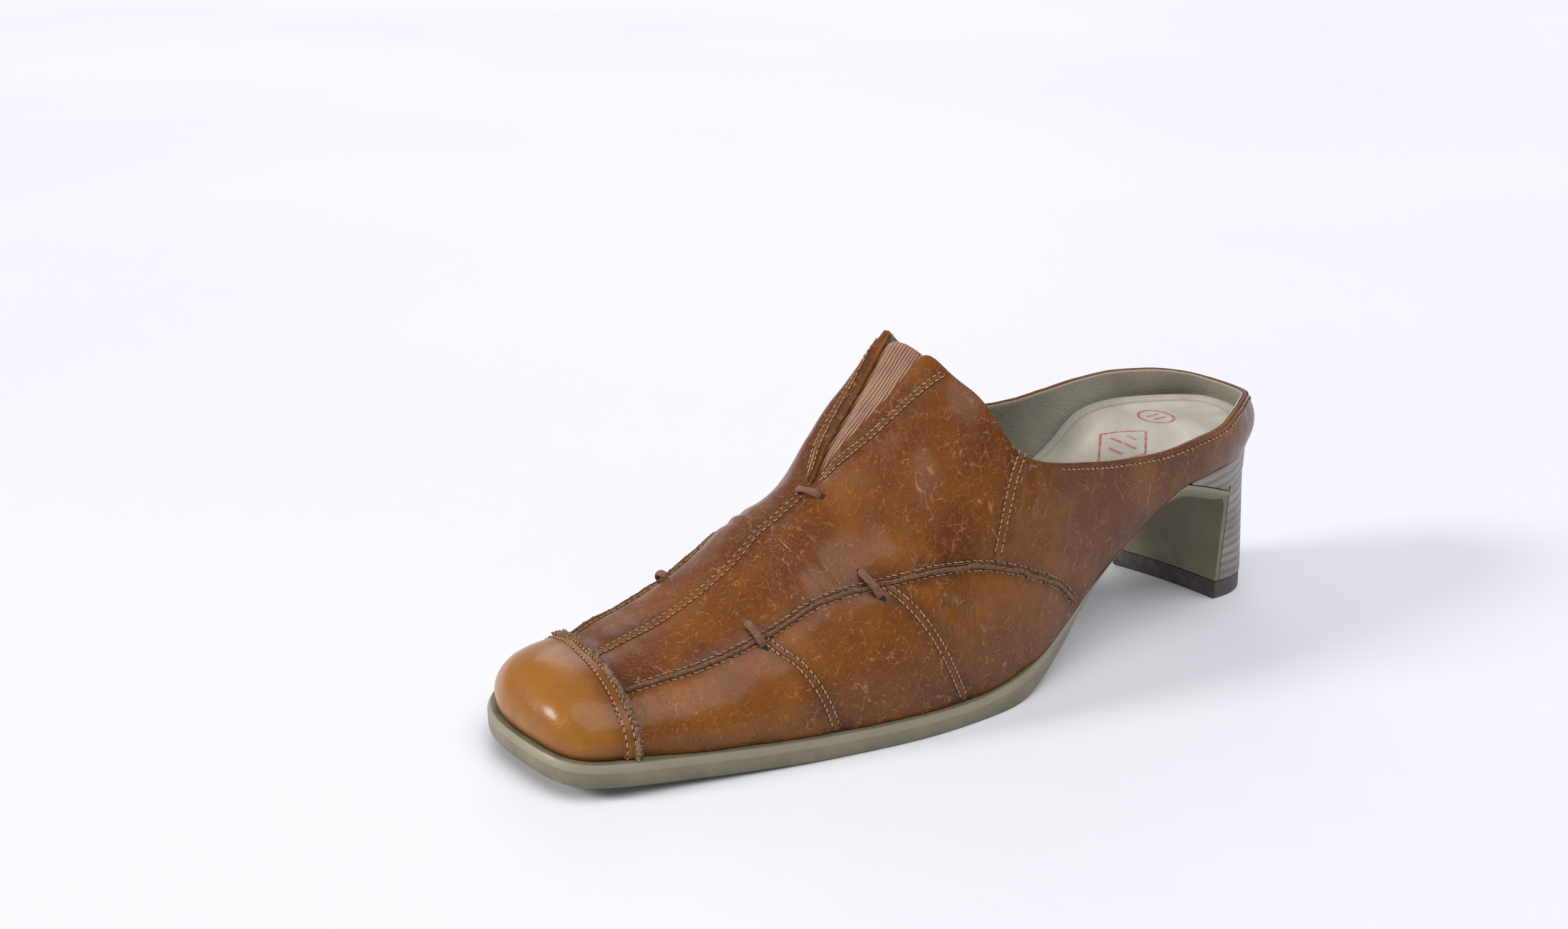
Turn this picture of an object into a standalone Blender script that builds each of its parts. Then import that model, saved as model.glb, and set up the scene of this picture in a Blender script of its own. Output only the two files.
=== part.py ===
"""A left mule with a stacked block heel, in metres, +Z up, toe towards -Y and outer side towards +X."""

import math

import bmesh
import bpy
import numpy as np
from mathutils import Vector

# Sizes of the last
LAST_LENGTH = 0.2505
HEEL_WIDTH = 0.0560
WAIST_WIDTH = 0.0600
BALL_WIDTH = 0.0820
TOE_WIDTH = 0.0580
HEEL_HEIGHT = 0.0480
TOE_SPRING = 0.0050
INSTEP_HEIGHT = 0.1050
TOE_BOX_HEIGHT = 0.0169
SIDE_SWELL = 0.0024
SPINE_SHIFT = -0.0020

# Sizes of the upper
UPPER_WALL = 0.0020
QUARTER_HEIGHT = 0.0155
TOPLINE_BACK = -0.0001
THROAT_OPENING = 0.0148
THROAT_TOP_ALONG = 0.50659 * LAST_LENGTH
THROAT_FOOT_ALONG = 0.64032 * LAST_LENGTH
CAP_SEAM_ALONG = 0.90619 * LAST_LENGTH
CAP_THICKNESS = 0.0012
CAP_RUN_IN = 0.0100
SEAM_WIDTH = 0.0026
SEAM_HEIGHT = 0.0016
CAP_STRIP_WIDTH = 0.0034
TIE_LENGTH = 0.0092
TIE_WIDTH = 0.0028
TIE_THICKNESS = 0.0011
TIE_DROP = 0.0006
GORE_THICKNESS = 0.0011
GORE_LAP = 0.0035
INSOLE_THICKNESS = 0.0030

# Sizes of the sole and heel
SOLE_THICKNESS = 0.0064
SOLE_SHELF = 0.0026
WAIST_TUCK = 0.0050
WEDGE_LENGTH = 0.0445
WEDGE_DEPTH = 0.0080
WEDGE_TIP = 0.0006
WEDGE_LIP = 0.0020
HEEL_TREAD_WIDTH = 0.0375
HEEL_TREAD_BACK = 0.0028
HEEL_BREAST_ALONG = 0.0264
BREAST_LEAN = 0.0016
BREAST_SLANT = 0.0092
BACK_POWER = 0.72
BREAST_HOLLOW = 0.0012
BREAST_SKIN = 0.0016
BREAST_FILLET = 0.0085
TOP_PIECE_HEIGHT = 0.0060
GAP = 0.0003

# The feather line, from the back of the heel (turn 0) to the front of the toe (turn 1).
# Lengths are shares of the last's length, and widths are shares of the named width.
OUTLINE_COLUMNS = ("turn", "spine", "outer_along", "outer_out", "inner_along", "inner_out", "width")
OUTLINE = (
    (0.000, 0.095, 0.006, -0.02, 0.006, 0.02, HEEL_WIDTH),
    (0.030, 0.100, 0.014, 0.14, 0.012, 0.18, HEEL_WIDTH),
    (0.060, 0.108, 0.039, 0.25, 0.034, 0.28, HEEL_WIDTH),
    (0.100, 0.125, 0.080, 0.37, 0.076, 0.38, HEEL_WIDTH),
    (0.140, 0.146, 0.124, 0.45, 0.124, 0.45, HEEL_WIDTH),
    (0.190, 0.178, 0.178, 0.50, 0.178, 0.49, HEEL_WIDTH),
    (0.240, 0.236, 0.236, 0.52, 0.236, 0.48, HEEL_WIDTH),
    (0.340, 0.349, 0.349, 0.56, 0.349, 0.44, WAIST_WIDTH),
    (0.440, 0.465, 0.465, 0.495, 0.465, 0.375, BALL_WIDTH),
    (0.540, 0.581, 0.581, 0.516, 0.581, 0.450, BALL_WIDTH),
    (0.640, 0.697, 0.697, 0.475, 0.697, 0.484, BALL_WIDTH),
    (0.740, 0.812, 0.812, 0.410, 0.812, 0.445, BALL_WIDTH),
    (0.840, 0.894, 0.920, 0.482, 0.922, 0.505, TOE_WIDTH),
    (0.885, 0.918, 0.960, 0.430, 0.965, 0.428, TOE_WIDTH),
    (0.920, 0.930, 0.981, 0.345, 0.988, 0.338, TOE_WIDTH),
    (0.955, 0.938, 0.994, 0.190, 1.001, 0.205, TOE_WIDTH),
    (1.000, 0.942, 1.004, -0.05, 1.004, 0.05, TOE_WIDTH),
)

# Heights along the last, each a share of the size named in its column
LIFT_COLUMNS = ("along", "seat", "tread")
LIFT = (
    (0.00, 1.000, 0.870),
    (0.09, 1.000, 0.877),
    (0.12, 1.000, 0.900),
    (0.18, 0.980, 0.985),
    (0.24, 0.820, 0.862),
    (0.28, 0.700, 0.722),
    (0.335, 0.490, 0.485),
    (0.39, 0.262, 0.205),
    (0.44, 0.107, 0.045),
    (0.48, 0.045, 0.000),
    (0.55, 0.000, 0.000),
    (1.00, 0.000, 0.000),
)
CROWN_COLUMNS = ("along", "instep", "toe_box")
CROWN = (
    (0.00, 0.640, 0.0),
    (0.24, 0.720, 0.0),
    (0.40, 0.960, 0.0),
    (0.45, 0.930, 0.0),
    (0.50, 0.862, 0.0),
    (0.56, 0.700, 0.0),
    (0.64, 0.500, 0.0),
    (0.68, 0.438, 0.0),
    (0.72, 0.368, 0.0),
    (0.79, 0.166, 0.55),
    (0.85, 0.050, 0.88),
    (0.90, 0.000, 1.02),
    (0.95, 0.000, 0.97),
)
SECTION_COLUMNS = ("along", "side_power", "crown_power", "swell")
SECTION = (
    (0.00, 1.00, 1.00, 1.00),
    (0.24, 1.00, 1.00, 0.70),
    (0.50, 1.00, 1.12, 0.55),
    (0.64, 1.00, 1.00, 0.45),
    (0.76, 0.90, 0.90, 0.40),
    (1.00, 0.88, 0.88, 0.30),
)
SOLE_EDGE_COLUMNS = ("along", "shelf", "tuck")
SOLE_EDGE = (
    (0.10, 0.00, 0.20),
    (0.19, 0.00, 1.00),
    (0.30, 0.00, 0.85),
    (0.40, 0.10, 0.35),
    (0.50, 0.70, 0.00),
    (0.62, 0.85, 0.00),
    (0.86, 0.88, 0.00),
    (0.94, 1.12, 0.00),
    (1.00, 1.00, 0.00),
)
FLANK_SHARE = 0.39
TOPLINE_COLUMNS = ("along", "outer", "inner")
TOPLINE = (
    (0.00, 1.00, 1.00),
    (0.04, 1.06, 1.15),
    (0.08, 1.06, 1.22),
    (0.12, 0.93, 1.20),
    (0.17, 0.87, 1.12),
    (0.23, 0.78, 1.04),
    (0.31, 0.88, 1.00),
    (0.37, 1.04, 1.16),
    (0.397, 1.13, 1.43),
    (0.430, 1.28, 2.00),
    (0.450, 1.48, 2.32),
    (0.480, 2.39, 2.78),
    (0.5065, 3.06, 3.12),
    (0.520, 6.00, 6.00),
)

# Each seam runs on the upper, placed by its share of the quarter turn from feather line to crown
SEAM_COLUMNS = ("along", "outer", "inner")
SIDE_SEAM = (
    (0.377, 0.035, 0.030),
    (0.409, 0.125, 0.090),
    (0.457, 0.218, 0.170),
    (0.504, 0.288, 0.232),
    (0.545, 0.348, 0.290),
    (0.600, 0.418, 0.380),
    (0.641, 0.476, 0.445),
    (0.712, 0.542, 0.545),
    (0.762, 0.570, 0.588),
    (0.903, 0.615, 0.580),
)
TIE_COLUMNS = ("outer", "inner")
TIES = ((0.641, 0.655), (0.762, 0.775))

QUARTER_TURN = 0.5 * math.pi
TOE_FRONT = OUTLINE[-1][OUTLINE_COLUMNS.index("outer_along")] * LAST_LENGTH + SOLE_SHELF
MIDDLE_ALONG = 0.5 * (TOE_FRONT + TOPLINE_BACK)
MIDDLE_OUT = 0.5 * (0.516 - 0.484) * BALL_WIDTH


def column(table, names, name):
    return np.array([row[names.index(name)] for row in table], float)


def smooth_slopes(xs, ys):
    """Slopes of a monotone cubic, so that a table never overshoots its rows."""
    steps = np.diff(xs)
    rises = np.diff(ys) / steps
    slopes = np.zeros(len(xs))
    slopes[0] = rises[0]
    slopes[-1] = rises[-1]
    for i in range(1, len(xs) - 1):
        if rises[i - 1] * rises[i] > 0:
            before = 2 * steps[i] + steps[i - 1]
            after = steps[i] + 2 * steps[i - 1]
            slopes[i] = (before + after) / (before / rises[i - 1] + after / rises[i])
    return slopes


def reader(xs, ys, slopes=None):
    xs = np.asarray(xs, float)
    ys = np.asarray(ys, float)
    if slopes is None:
        slopes = smooth_slopes(xs, ys)

    def read(x):
        x = min(max(x, xs[0]), xs[-1])
        i = min(max(int(np.searchsorted(xs, x)) - 1, 0), len(xs) - 2)
        step = xs[i + 1] - xs[i]
        u = (x - xs[i]) / step
        return (
            ys[i] * (1 + 2 * u) * (1 - u) ** 2
            + slopes[i] * step * u * (1 - u) ** 2
            + ys[i + 1] * u * u * (3 - 2 * u)
            + slopes[i + 1] * step * u * u * (u - 1)
        )

    return read


def loop_reader(turns, outer, inner):
    """One smooth closed curve: out along the outer side, round the toe and back along the inner side."""
    xs = np.concatenate([turns, 2 - turns[-2::-1]])
    ys = np.concatenate([outer, inner[-2::-1]])
    ahead = np.concatenate([xs[1:], [xs[1] + 2]])
    behind = np.concatenate([[xs[-2] - 2], xs[:-1]])
    slopes = (np.concatenate([ys[1:], [ys[1]]]) - np.concatenate([[ys[-2]], ys[:-1]])) / (ahead - behind)
    return reader(xs, ys, slopes)


def outline_readers():
    turns = column(OUTLINE, OUTLINE_COLUMNS, "turn")
    widths = column(OUTLINE, OUTLINE_COLUMNS, "width")
    along = loop_reader(
        turns,
        column(OUTLINE, OUTLINE_COLUMNS, "outer_along") * LAST_LENGTH,
        column(OUTLINE, OUTLINE_COLUMNS, "inner_along") * LAST_LENGTH,
    )
    out = loop_reader(
        turns,
        column(OUTLINE, OUTLINE_COLUMNS, "outer_out") * widths,
        -column(OUTLINE, OUTLINE_COLUMNS, "inner_out") * widths,
    )
    spine = reader(turns, column(OUTLINE, OUTLINE_COLUMNS, "spine") * LAST_LENGTH)
    return along, out, spine


def along_reader(table, names, name):
    return reader(column(table, names, "along") * LAST_LENGTH, column(table, names, name))


FEATHER_ALONG, FEATHER_OUT, SPINE_ALONG = outline_readers()
SEAT_SHARE = along_reader(LIFT, LIFT_COLUMNS, "seat")
TREAD_SHARE = along_reader(LIFT, LIFT_COLUMNS, "tread")
INSTEP_SHARE = along_reader(CROWN, CROWN_COLUMNS, "instep")
TOE_BOX_SHARE = along_reader(CROWN, CROWN_COLUMNS, "toe_box")
SIDE_POWER = along_reader(SECTION, SECTION_COLUMNS, "side_power")
CROWN_POWER = along_reader(SECTION, SECTION_COLUMNS, "crown_power")
SWELL_SHARE = along_reader(SECTION, SECTION_COLUMNS, "swell")
SHELF_SHARE = along_reader(SOLE_EDGE, SOLE_EDGE_COLUMNS, "shelf")
TUCK_SHARE = along_reader(SOLE_EDGE, SOLE_EDGE_COLUMNS, "tuck")
TOPLINE_SHARE = {
    1: along_reader(TOPLINE, TOPLINE_COLUMNS, "outer"),
    -1: along_reader(TOPLINE, TOPLINE_COLUMNS, "inner"),
}
SIDE_SEAM_SHARE = {
    1: along_reader(SIDE_SEAM, SEAM_COLUMNS, "outer"),
    -1: along_reader(SIDE_SEAM, SEAM_COLUMNS, "inner"),
}


def world(out, along, up):
    """A point of the last, in the model's own frame: the middle of its box stands at the origin."""
    return Vector((out - MIDDLE_OUT, MIDDLE_ALONG - along, up))


def toe_lift(along):
    share = max(0.0, along / LAST_LENGTH - 0.66) / 0.34
    return TOE_SPRING * share**1.8


def seat_height(along):
    """Top of the sole at the feather line."""
    return SOLE_THICKNESS + (HEEL_HEIGHT - SOLE_THICKNESS) * SEAT_SHARE(along) + toe_lift(along)


def tread_height(along):
    """Underside of the sole."""
    return (HEEL_HEIGHT - SOLE_THICKNESS) * TREAD_SHARE(along) + toe_lift(along)


def crown_rise(along):
    """Height of the last over the feather line, at its spine."""
    return INSTEP_HEIGHT * INSTEP_SHARE(along) + TOE_BOX_HEIGHT * TOE_BOX_SHARE(along)


def feather_point(turn, side):
    loop = turn if side > 0 else 2 - turn
    return np.array([FEATHER_OUT(loop), FEATHER_ALONG(loop)])


def feather_outward(turn, side):
    """Unit vector in plan, square to the feather line and away from the spine."""
    step = 0.002
    loop = turn if side > 0 else 2 - turn
    before = (loop - step) % 2
    after = (loop + step) % 2
    run = np.array([FEATHER_OUT(after) - FEATHER_OUT(before), FEATHER_ALONG(after) - FEATHER_ALONG(before)])
    run /= np.linalg.norm(run)
    return np.array([run[1], -run[0]])


def spine_point(turn):
    return np.array([SPINE_SHIFT, SPINE_ALONG(turn)])


def turn_at(along):
    """The turn whose spine point lies at this length."""
    low, high = 0.0, 1.0
    for _ in range(40):
        middle = 0.5 * (low + high)
        if feather_point(middle, 1)[1] < along:
            low = middle
        else:
            high = middle
    return 0.5 * (low + high)


def cap_recess(along):
    """How far the vamp sinks under the toe cap, so that the cap lies flush with the last's shape."""
    share = (along - CAP_SEAM_ALONG + CAP_RUN_IN) / (CAP_RUN_IN + CAP_STRIP_WIDTH)
    share = min(max(share, 0.0), 1.0)
    return (CAP_THICKNESS + GAP) * share * share * (3 - 2 * share)


def last_point(turn, side, angle, sink=0.0):
    """The last's surface, sunk by this much: angle 0 is the feather line and a quarter turn is the crown."""
    edge = feather_point(turn, side)
    spine = spine_point(turn)
    station = spine[1]
    reach = math.cos(angle) ** SIDE_POWER(station) if angle < QUARTER_TURN else 0.0
    rise = math.sin(angle) ** CROWN_POWER(station)
    full = min(1.0, angle / 0.30)
    swell = SIDE_SWELL * SWELL_SHARE(edge[1]) * (1 - (1 - full) ** 2) - sink
    plan = spine + (edge + feather_outward(turn, side) * swell - spine) * reach
    base = seat_height(edge[1]) * reach + seat_height(station) * (1 - reach)
    return np.array([plan[0], plan[1], base + GAP + (crown_rise(station) - sink) * rise])


def upper_point(turn, side, angle):
    """Outer face of the upper, sunk where the toe cap lies on it."""
    plain = last_point(turn, side, angle)
    sink = cap_recess(plain[1])
    return last_point(turn, side, angle, sink) if sink else plain


def topline_height(along, side):
    return HEEL_HEIGHT + QUARTER_HEIGHT * TOPLINE_SHARE[side](along)


def throat_half(along):
    share = (THROAT_FOOT_ALONG - along) / (THROAT_FOOT_ALONG - THROAT_TOP_ALONG)
    return 0.5 * THROAT_OPENING * min(max(share, 0.0), 1.0)


def open_edge(turn, side):
    """The angle at which the upper stops: its topline, the edge of the throat, or the crown."""

    def outside(angle):
        out, along, up = upper_point(turn, side, angle)
        if along > THROAT_FOOT_ALONG:
            return False
        if along > THROAT_TOP_ALONG and abs(out - SPINE_SHIFT) < throat_half(along):
            return True
        return up > topline_height(along, side)

    if not outside(QUARTER_TURN - 1e-6):
        return QUARTER_TURN
    low, high = 0.02, QUARTER_TURN
    for _ in range(40):
        middle = 0.5 * (low + high)
        if outside(middle):
            high = middle
        else:
            low = middle
    return low


def loop_point(loop, angle):
    """A point of the upper by its turn round the whole feather line: 0 to 1 outside, 1 to 2 inside."""
    loop = loop % 2
    return upper_point(loop, 1, angle) if loop <= 1 else upper_point(2 - loop, -1, angle)


def upper_normal(turn, side, angle):
    step = 0.004
    if angle > QUARTER_TURN - step:
        run = upper_point(min(turn + step, 1.0), side, QUARTER_TURN) - upper_point(turn - step, side, QUARTER_TURN)
        normal = np.array([0.0, -run[2], run[1]])
    else:
        loop = turn if side > 0 else 2 - turn
        first = loop_point(loop + step, angle) - loop_point(loop - step, angle)
        second = loop_point(loop, angle + step) - loop_point(loop, max(angle - step, 0.0))
        normal = np.cross(first, second)
    return normal / np.linalg.norm(normal)


def raised(turn, side, angle, height):
    return upper_point(turn, side, angle) + upper_normal(turn, side, angle) * height


# Building helpers
def start_scene():
    for old in list(bpy.data.objects):
        bpy.data.objects.remove(old, do_unlink=True)
    shoe = bpy.data.collections.new("mule_shoe")
    cutters = bpy.data.collections.new("cutters")
    bpy.context.scene.collection.children.link(shoe)
    bpy.context.scene.collection.children.link(cutters)
    return shoe, cutters


def finish_material(name, colour, roughness):
    material = bpy.data.materials.new(name)
    material.use_nodes = True
    shader = material.node_tree.nodes["Principled BSDF"]
    shader.inputs["Base Color"].default_value = (*colour, 1)
    shader.inputs["Roughness"].default_value = roughness
    shader.inputs["Metallic"].default_value = 0.0
    return material


def mesh_object(bm, name, collection, material):
    mesh = bpy.data.meshes.new(name)
    bm.to_mesh(mesh)
    bm.free()
    obj = bpy.data.objects.new(name, mesh)
    collection.objects.link(obj)
    if material:
        mesh.materials.append(material)
        mesh.shade_smooth()
        mesh.set_sharp_from_angle(angle=math.radians(40))
    return obj


def grid_sheet(bm, columns, rows, place):
    """A grid whose point in column i and row j is moved to place(i, j)."""
    made = bmesh.ops.create_grid(bm, x_segments=columns - 1, y_segments=rows - 1, size=1.0)
    for vertex in made["verts"]:
        i = round((vertex.co.x + 1) / 2 * (columns - 1))
        j = round((vertex.co.y + 1) / 2 * (rows - 1))
        vertex.co = world(*place(i, j))


def weld(bm):
    bmesh.ops.remove_doubles(bm, verts=bm.verts, dist=2e-6)
    bmesh.ops.dissolve_degenerate(bm, dist=1e-6, edges=bm.edges)


def face_outwards(bm):
    """Turns the normals of a closed body, or of an open sheet that is curved round the last, outwards."""
    bmesh.ops.recalc_face_normals(bm, faces=bm.faces)
    middle = sum((face.calc_center_median() for face in bm.faces), Vector()) / len(bm.faces)
    facing = sum(
        (face.calc_center_median() - middle).dot(face.normal) * face.calc_area() for face in bm.faces
    )
    if facing < 0:
        bmesh.ops.reverse_faces(bm, faces=bm.faces)


def close_ends(bm):
    rim = [edge for edge in bm.edges if edge.is_boundary]
    if rim:
        bmesh.ops.holes_fill(bm, edges=rim, sides=0)


def solid_from(bm, name, collection, material):
    weld(bm)
    close_ends(bm)
    bmesh.ops.recalc_face_normals(bm, faces=bm.faces)
    bmesh.ops.triangulate(bm, faces=bm.faces)
    return mesh_object(bm, name, collection, material)


def loft(bm, rings):
    """Skins a list of closed rings that have the same number of points."""
    rows = [[bm.verts.new(world(*point)) for point in ring] for ring in rings]
    for lower, upper in zip(rows, rows[1:]):
        for i in range(len(lower)):
            j = (i + 1) % len(lower)
            bm.faces.new((lower[i], lower[j], upper[j], upper[i]))
    bm.faces.new(rows[0][::-1])
    bm.faces.new(rows[-1])


def thicken(obj, thickness, offset):
    wall = obj.modifiers.new("wall", "SOLIDIFY")
    wall.thickness = thickness
    wall.offset = offset
    wall.use_even_offset = True
    wall.use_quality_normals = True


def cut_with(obj, cutter, operation):
    cut = obj.modifiers.new(cutter.name, "BOOLEAN")
    cut.operation = operation
    cut.object = cutter
    cut.solver = "EXACT"
    cutter.hide_render = True
    cutter.display_type = "WIRE"


def spread(breaks, counts):
    """Turns from one break to the next, with this many steps in each stretch."""
    turns = [breaks[0]]
    for low, high, count in zip(breaks, breaks[1:], counts):
        turns += [low + (high - low) * (k + 1) / count for k in range(count)]
    return turns


# The pieces
def make_upper(collection, material):
    flank = turn_at(FLANK_SHARE * LAST_LENGTH)
    corner = turn_at(THROAT_TOP_ALONG)
    foot = turn_at(THROAT_FOOT_ALONG)
    turns = spread([0.0, 0.10, flank, corner, foot, 0.84, 1.0], [6, 14, 12, 8, 11, 10])
    rows = 9
    bm = bmesh.new()
    for side in (1, -1):
        edges = [open_edge(turn, side) for turn in turns]

        def place(i, j):
            share = (j / (rows - 1)) ** 0.9
            return upper_point(turns[i], side, edges[i] * share)

        grid_sheet(bm, len(turns), rows, place)
    weld(bm)
    face_outwards(bm)
    obj = mesh_object(bm, "upper", collection, material)
    thicken(obj, UPPER_WALL, -1)
    return obj


def make_toe_cap(collection, cutters, material):
    turns = spread([turn_at(0.85 * LAST_LENGTH), 0.885, 1.0], [4, 11])
    rows = 9
    bm = bmesh.new()
    for sink in (0.0, CAP_THICKNESS):
        for side in (1, -1):

            def place(i, j):
                return last_point(turns[i], side, QUARTER_TURN * (j / (rows - 1)) ** 0.9, sink)

            grid_sheet(bm, len(turns), rows, place)
    weld(bm)
    bmesh.ops.bridge_loops(bm, edges=[edge for edge in bm.edges if edge.is_boundary])
    bmesh.ops.recalc_face_normals(bm, faces=bm.faces)
    bmesh.ops.triangulate(bm, faces=bm.faces)
    obj = mesh_object(bm, "toe_cap", collection, material)
    box = bmesh.new()
    bmesh.ops.create_cube(box, size=1.0)
    front = CAP_SEAM_ALONG + CAP_STRIP_WIDTH
    size = Vector((2 * BALL_WIDTH, 2 * (LAST_LENGTH - front), INSTEP_HEIGHT))
    bmesh.ops.scale(box, vec=size, verts=box.verts)
    bmesh.ops.translate(box, vec=world(0, LAST_LENGTH, 0), verts=box.verts)
    cut_with(obj, mesh_object(box, "cap_front", cutters, None), "INTERSECT")
    return obj


def sole_spine(turn):
    """The sole's rear end is cut straight across, so its spine keeps level with its edge there."""
    spine = spine_point(turn)
    if spine[1] < WEDGE_LENGTH:
        spine[1] = feather_point(turn, 1)[1]
    return spine


def breast_shift(out, along):
    """The sole's rear end is slanted like the breast, and the slant fades out under the wedge."""
    fade = min(max((WEDGE_LENGTH - along) / (WEDGE_LENGTH - HEEL_BREAST_ALONG), 0.0), 1.0)
    return -BREAST_SLANT * fade * out / HEEL_WIDTH


def wedge_depth(along):
    """Depth of the heel's wedge under the feather line."""
    share = (WEDGE_LENGTH - along) / (WEDGE_LENGTH - HEEL_BREAST_ALONG)
    return WEDGE_TIP + (WEDGE_DEPTH - WEDGE_TIP) * max(0.0, share)


def sole_top(along):
    fade = min(1.0, max(0.0, (WEDGE_LENGTH + WEDGE_LIP - along) / WEDGE_LIP))
    return seat_height(along) - (wedge_depth(along) + GAP) * fade


def make_outsole(collection, material):
    start = turn_at(HEEL_BREAST_ALONG + BREAST_LEAN - 0.5 * BREAST_SKIN)
    lip = turn_at(WEDGE_LENGTH)
    turns = spread([start, lip, turn_at(WEDGE_LENGTH + WEDGE_LIP), 0.84, 1.0], [5, 1, 34, 12])
    levels = (
        ("tread", 0.0, 0.0, 0.0),
        ("tread", 0.6, 0.0, 0.0),
        ("tread", 1.0, 0.7, 1.0),
        ("side", 0.25, 1.0, 0.75),
        ("side", 0.75, 1.0, 0.25),
        ("top", 1.0, 0.6, 0.05),
        ("top", 0.6, 0.0, 0.0),
        ("top", 0.0, 0.0, 0.0),
    )
    bm = bmesh.new()
    for side in (1, -1):

        def place(i, j):
            kind, reach, shelf, tuck = levels[j]
            turn = turns[i]
            edge = feather_point(turn, side)
            spine = sole_spine(turn)
            ledge = SOLE_SHELF * SHELF_SHARE(edge[1]) * shelf - WAIST_TUCK * TUCK_SHARE(edge[1]) * tuck
            share = 1.0 if kind == "side" else reach
            plan = spine + (edge + feather_outward(turn, side) * ledge - spine) * share
            plan[1] += breast_shift(plan[0], plan[1])
            low, high = tread_height(plan[1]), sole_top(plan[1])
            if kind == "side":
                up = low + (high - low) * reach
            else:
                up = low if kind == "tread" else high
            return plan[0], plan[1], up

        grid_sheet(bm, len(turns), len(levels), place)
    sole = solid_from(bm, "outsole", collection, material)
    flap = bmesh.new()
    low = TOP_PIECE_HEIGHT + GAP
    run = HEEL_HEIGHT - WEDGE_DEPTH - 2 * GAP - low
    heights = [low + run * share for share in (0, 0.35, 0.6, 0.75, 0.88, 0.96, 1.0)]
    loft(flap, [breast_ring(height) for height in heights])
    bmesh.ops.recalc_face_normals(flap, faces=flap.faces)
    cut_with(sole, mesh_object(flap, "breast_flap", bpy.data.collections["cutters"], None), "UNION")
    return sole


def breast_line(share):
    """The front of the heel in plan, from its outer corner (share 0) to its inner one (share 1)."""
    return HEEL_BREAST_ALONG + BREAST_SLANT * (share - 0.5) - BREAST_HOLLOW * math.sin(math.pi * share)


def flare(height):
    """Share of the way from the heel's tread to the wide seat, as its sides run."""
    return min(1.0, height / (HEEL_HEIGHT - WEDGE_DEPTH)) ** 1.3


def heel_sides(height):
    """Outer and inner reach of the heel's front at this height."""
    low = 0.5 * HEEL_TREAD_WIDTH
    outer = feather_point(turn_at(breast_line(0)), 1)[0] - GAP
    inner = feather_point(turn_at(breast_line(1)), -1)[0] + GAP
    return low + (outer - low) * flare(height), -low + (inner + low) * flare(height)


def breast_rake(height):
    """How far forward the breast leans at this height."""
    return BREAST_LEAN * height / HEEL_HEIGHT


def breast_ring(height):
    trim = SOLE_SHELF * 0.4 * flare(height)
    outer, inner = heel_sides(height)
    outer, inner = outer - trim, inner + trim
    swept = max(0.0, height - (HEEL_HEIGHT - WEDGE_DEPTH - BREAST_FILLET)) / BREAST_FILLET
    fillet = BREAST_FILLET * (1 - math.sqrt(max(0.0, 1 - min(swept, 0.98) ** 2)))
    shares = [k / 6 for k in range(7)]
    face = [breast_line(share) + breast_rake(height) for share in shares]
    outs = [outer + (inner - outer) * share for share in shares]
    front = [(out, along + fillet, height) for out, along in zip(outs, face)]
    back = [(out, along - BREAST_SKIN, height) for out, along in zip(outs, face)]
    return front + back[::-1]


def heel_ring(height, front_inset):
    """Plan of the heel's leg: a slanted breast, and a back that runs from squarish to the seat's own curve."""
    outer, inner = heel_sides(height)
    low = 0.5 * HEEL_TREAD_WIDTH
    shares = [k / 6 for k in range(7)]
    lean = breast_rake(height) - front_inset
    front = [(outer + (inner - outer) * share, breast_line(share) + lean, height) for share in shares]
    back = []
    for k in range(1, 14):
        angle = math.pi * k / 14
        reach = math.cos(angle)
        out = math.copysign(abs(reach) ** BACK_POWER, reach) * low
        front_along = HEEL_BREAST_ALONG - 0.5 * BREAST_SLANT * out / low + lean
        along = front_along - (front_along - HEEL_TREAD_BACK) * math.sin(angle) ** BACK_POWER
        side = 1 if k <= 7 else -1
        corner = turn_at(breast_line(0 if k <= 7 else 1) + lean)
        seat = feather_point(corner * abs(1 - k / 7), side) - feather_outward(0.01 + corner * abs(1 - k / 7), side) * GAP
        plan = np.array([out, along]) * (1 - flare(height)) + seat * flare(height)
        back.append((plan[0], plan[1], height))
    return front[::-1] + back


def make_heel(collection, cutters, material):
    turns = spread([0.0, turn_at(WEDGE_LENGTH)], [18])
    levels = (("low", 0.0), ("low", 0.6), ("low", 1.0), ("top", 1.0), ("top", 0.6), ("top", 0.0))
    bm = bmesh.new()
    for side in (1, -1):

        def place(i, j):
            kind, reach = levels[j]
            edge = feather_point(turns[i], side)
            spine = spine_point(turns[i])
            spine[1] = min(spine[1], WEDGE_LENGTH)
            plan = spine + (edge - spine) * reach
            up = seat_height(plan[1]) - (wedge_depth(max(plan[1], HEEL_BREAST_ALONG)) if kind == "low" else 0)
            return plan[0], plan[1], up

        grid_sheet(bm, len(turns), len(levels), place)
    heel = solid_from(bm, "heel_stack", collection, material)
    leg = bmesh.new()
    top = HEEL_HEIGHT - 0.5 * WEDGE_DEPTH
    heights = [TOP_PIECE_HEIGHT + GAP + (top - TOP_PIECE_HEIGHT - GAP) * k / 5 for k in range(6)]
    loft(leg, [heel_ring(height, BREAST_SKIN + GAP) for height in heights])
    bmesh.ops.recalc_face_normals(leg, faces=leg.faces)
    cut_with(heel, mesh_object(leg, "heel_leg", cutters, None), "UNION")
    return heel


def make_top_piece(collection, material):
    bm = bmesh.new()
    loft(bm, [heel_ring(height, 0.0) for height in (0.0, TOP_PIECE_HEIGHT)])
    bmesh.ops.recalc_face_normals(bm, faces=bm.faces)
    return mesh_object(bm, "top_piece", collection, material)


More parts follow.
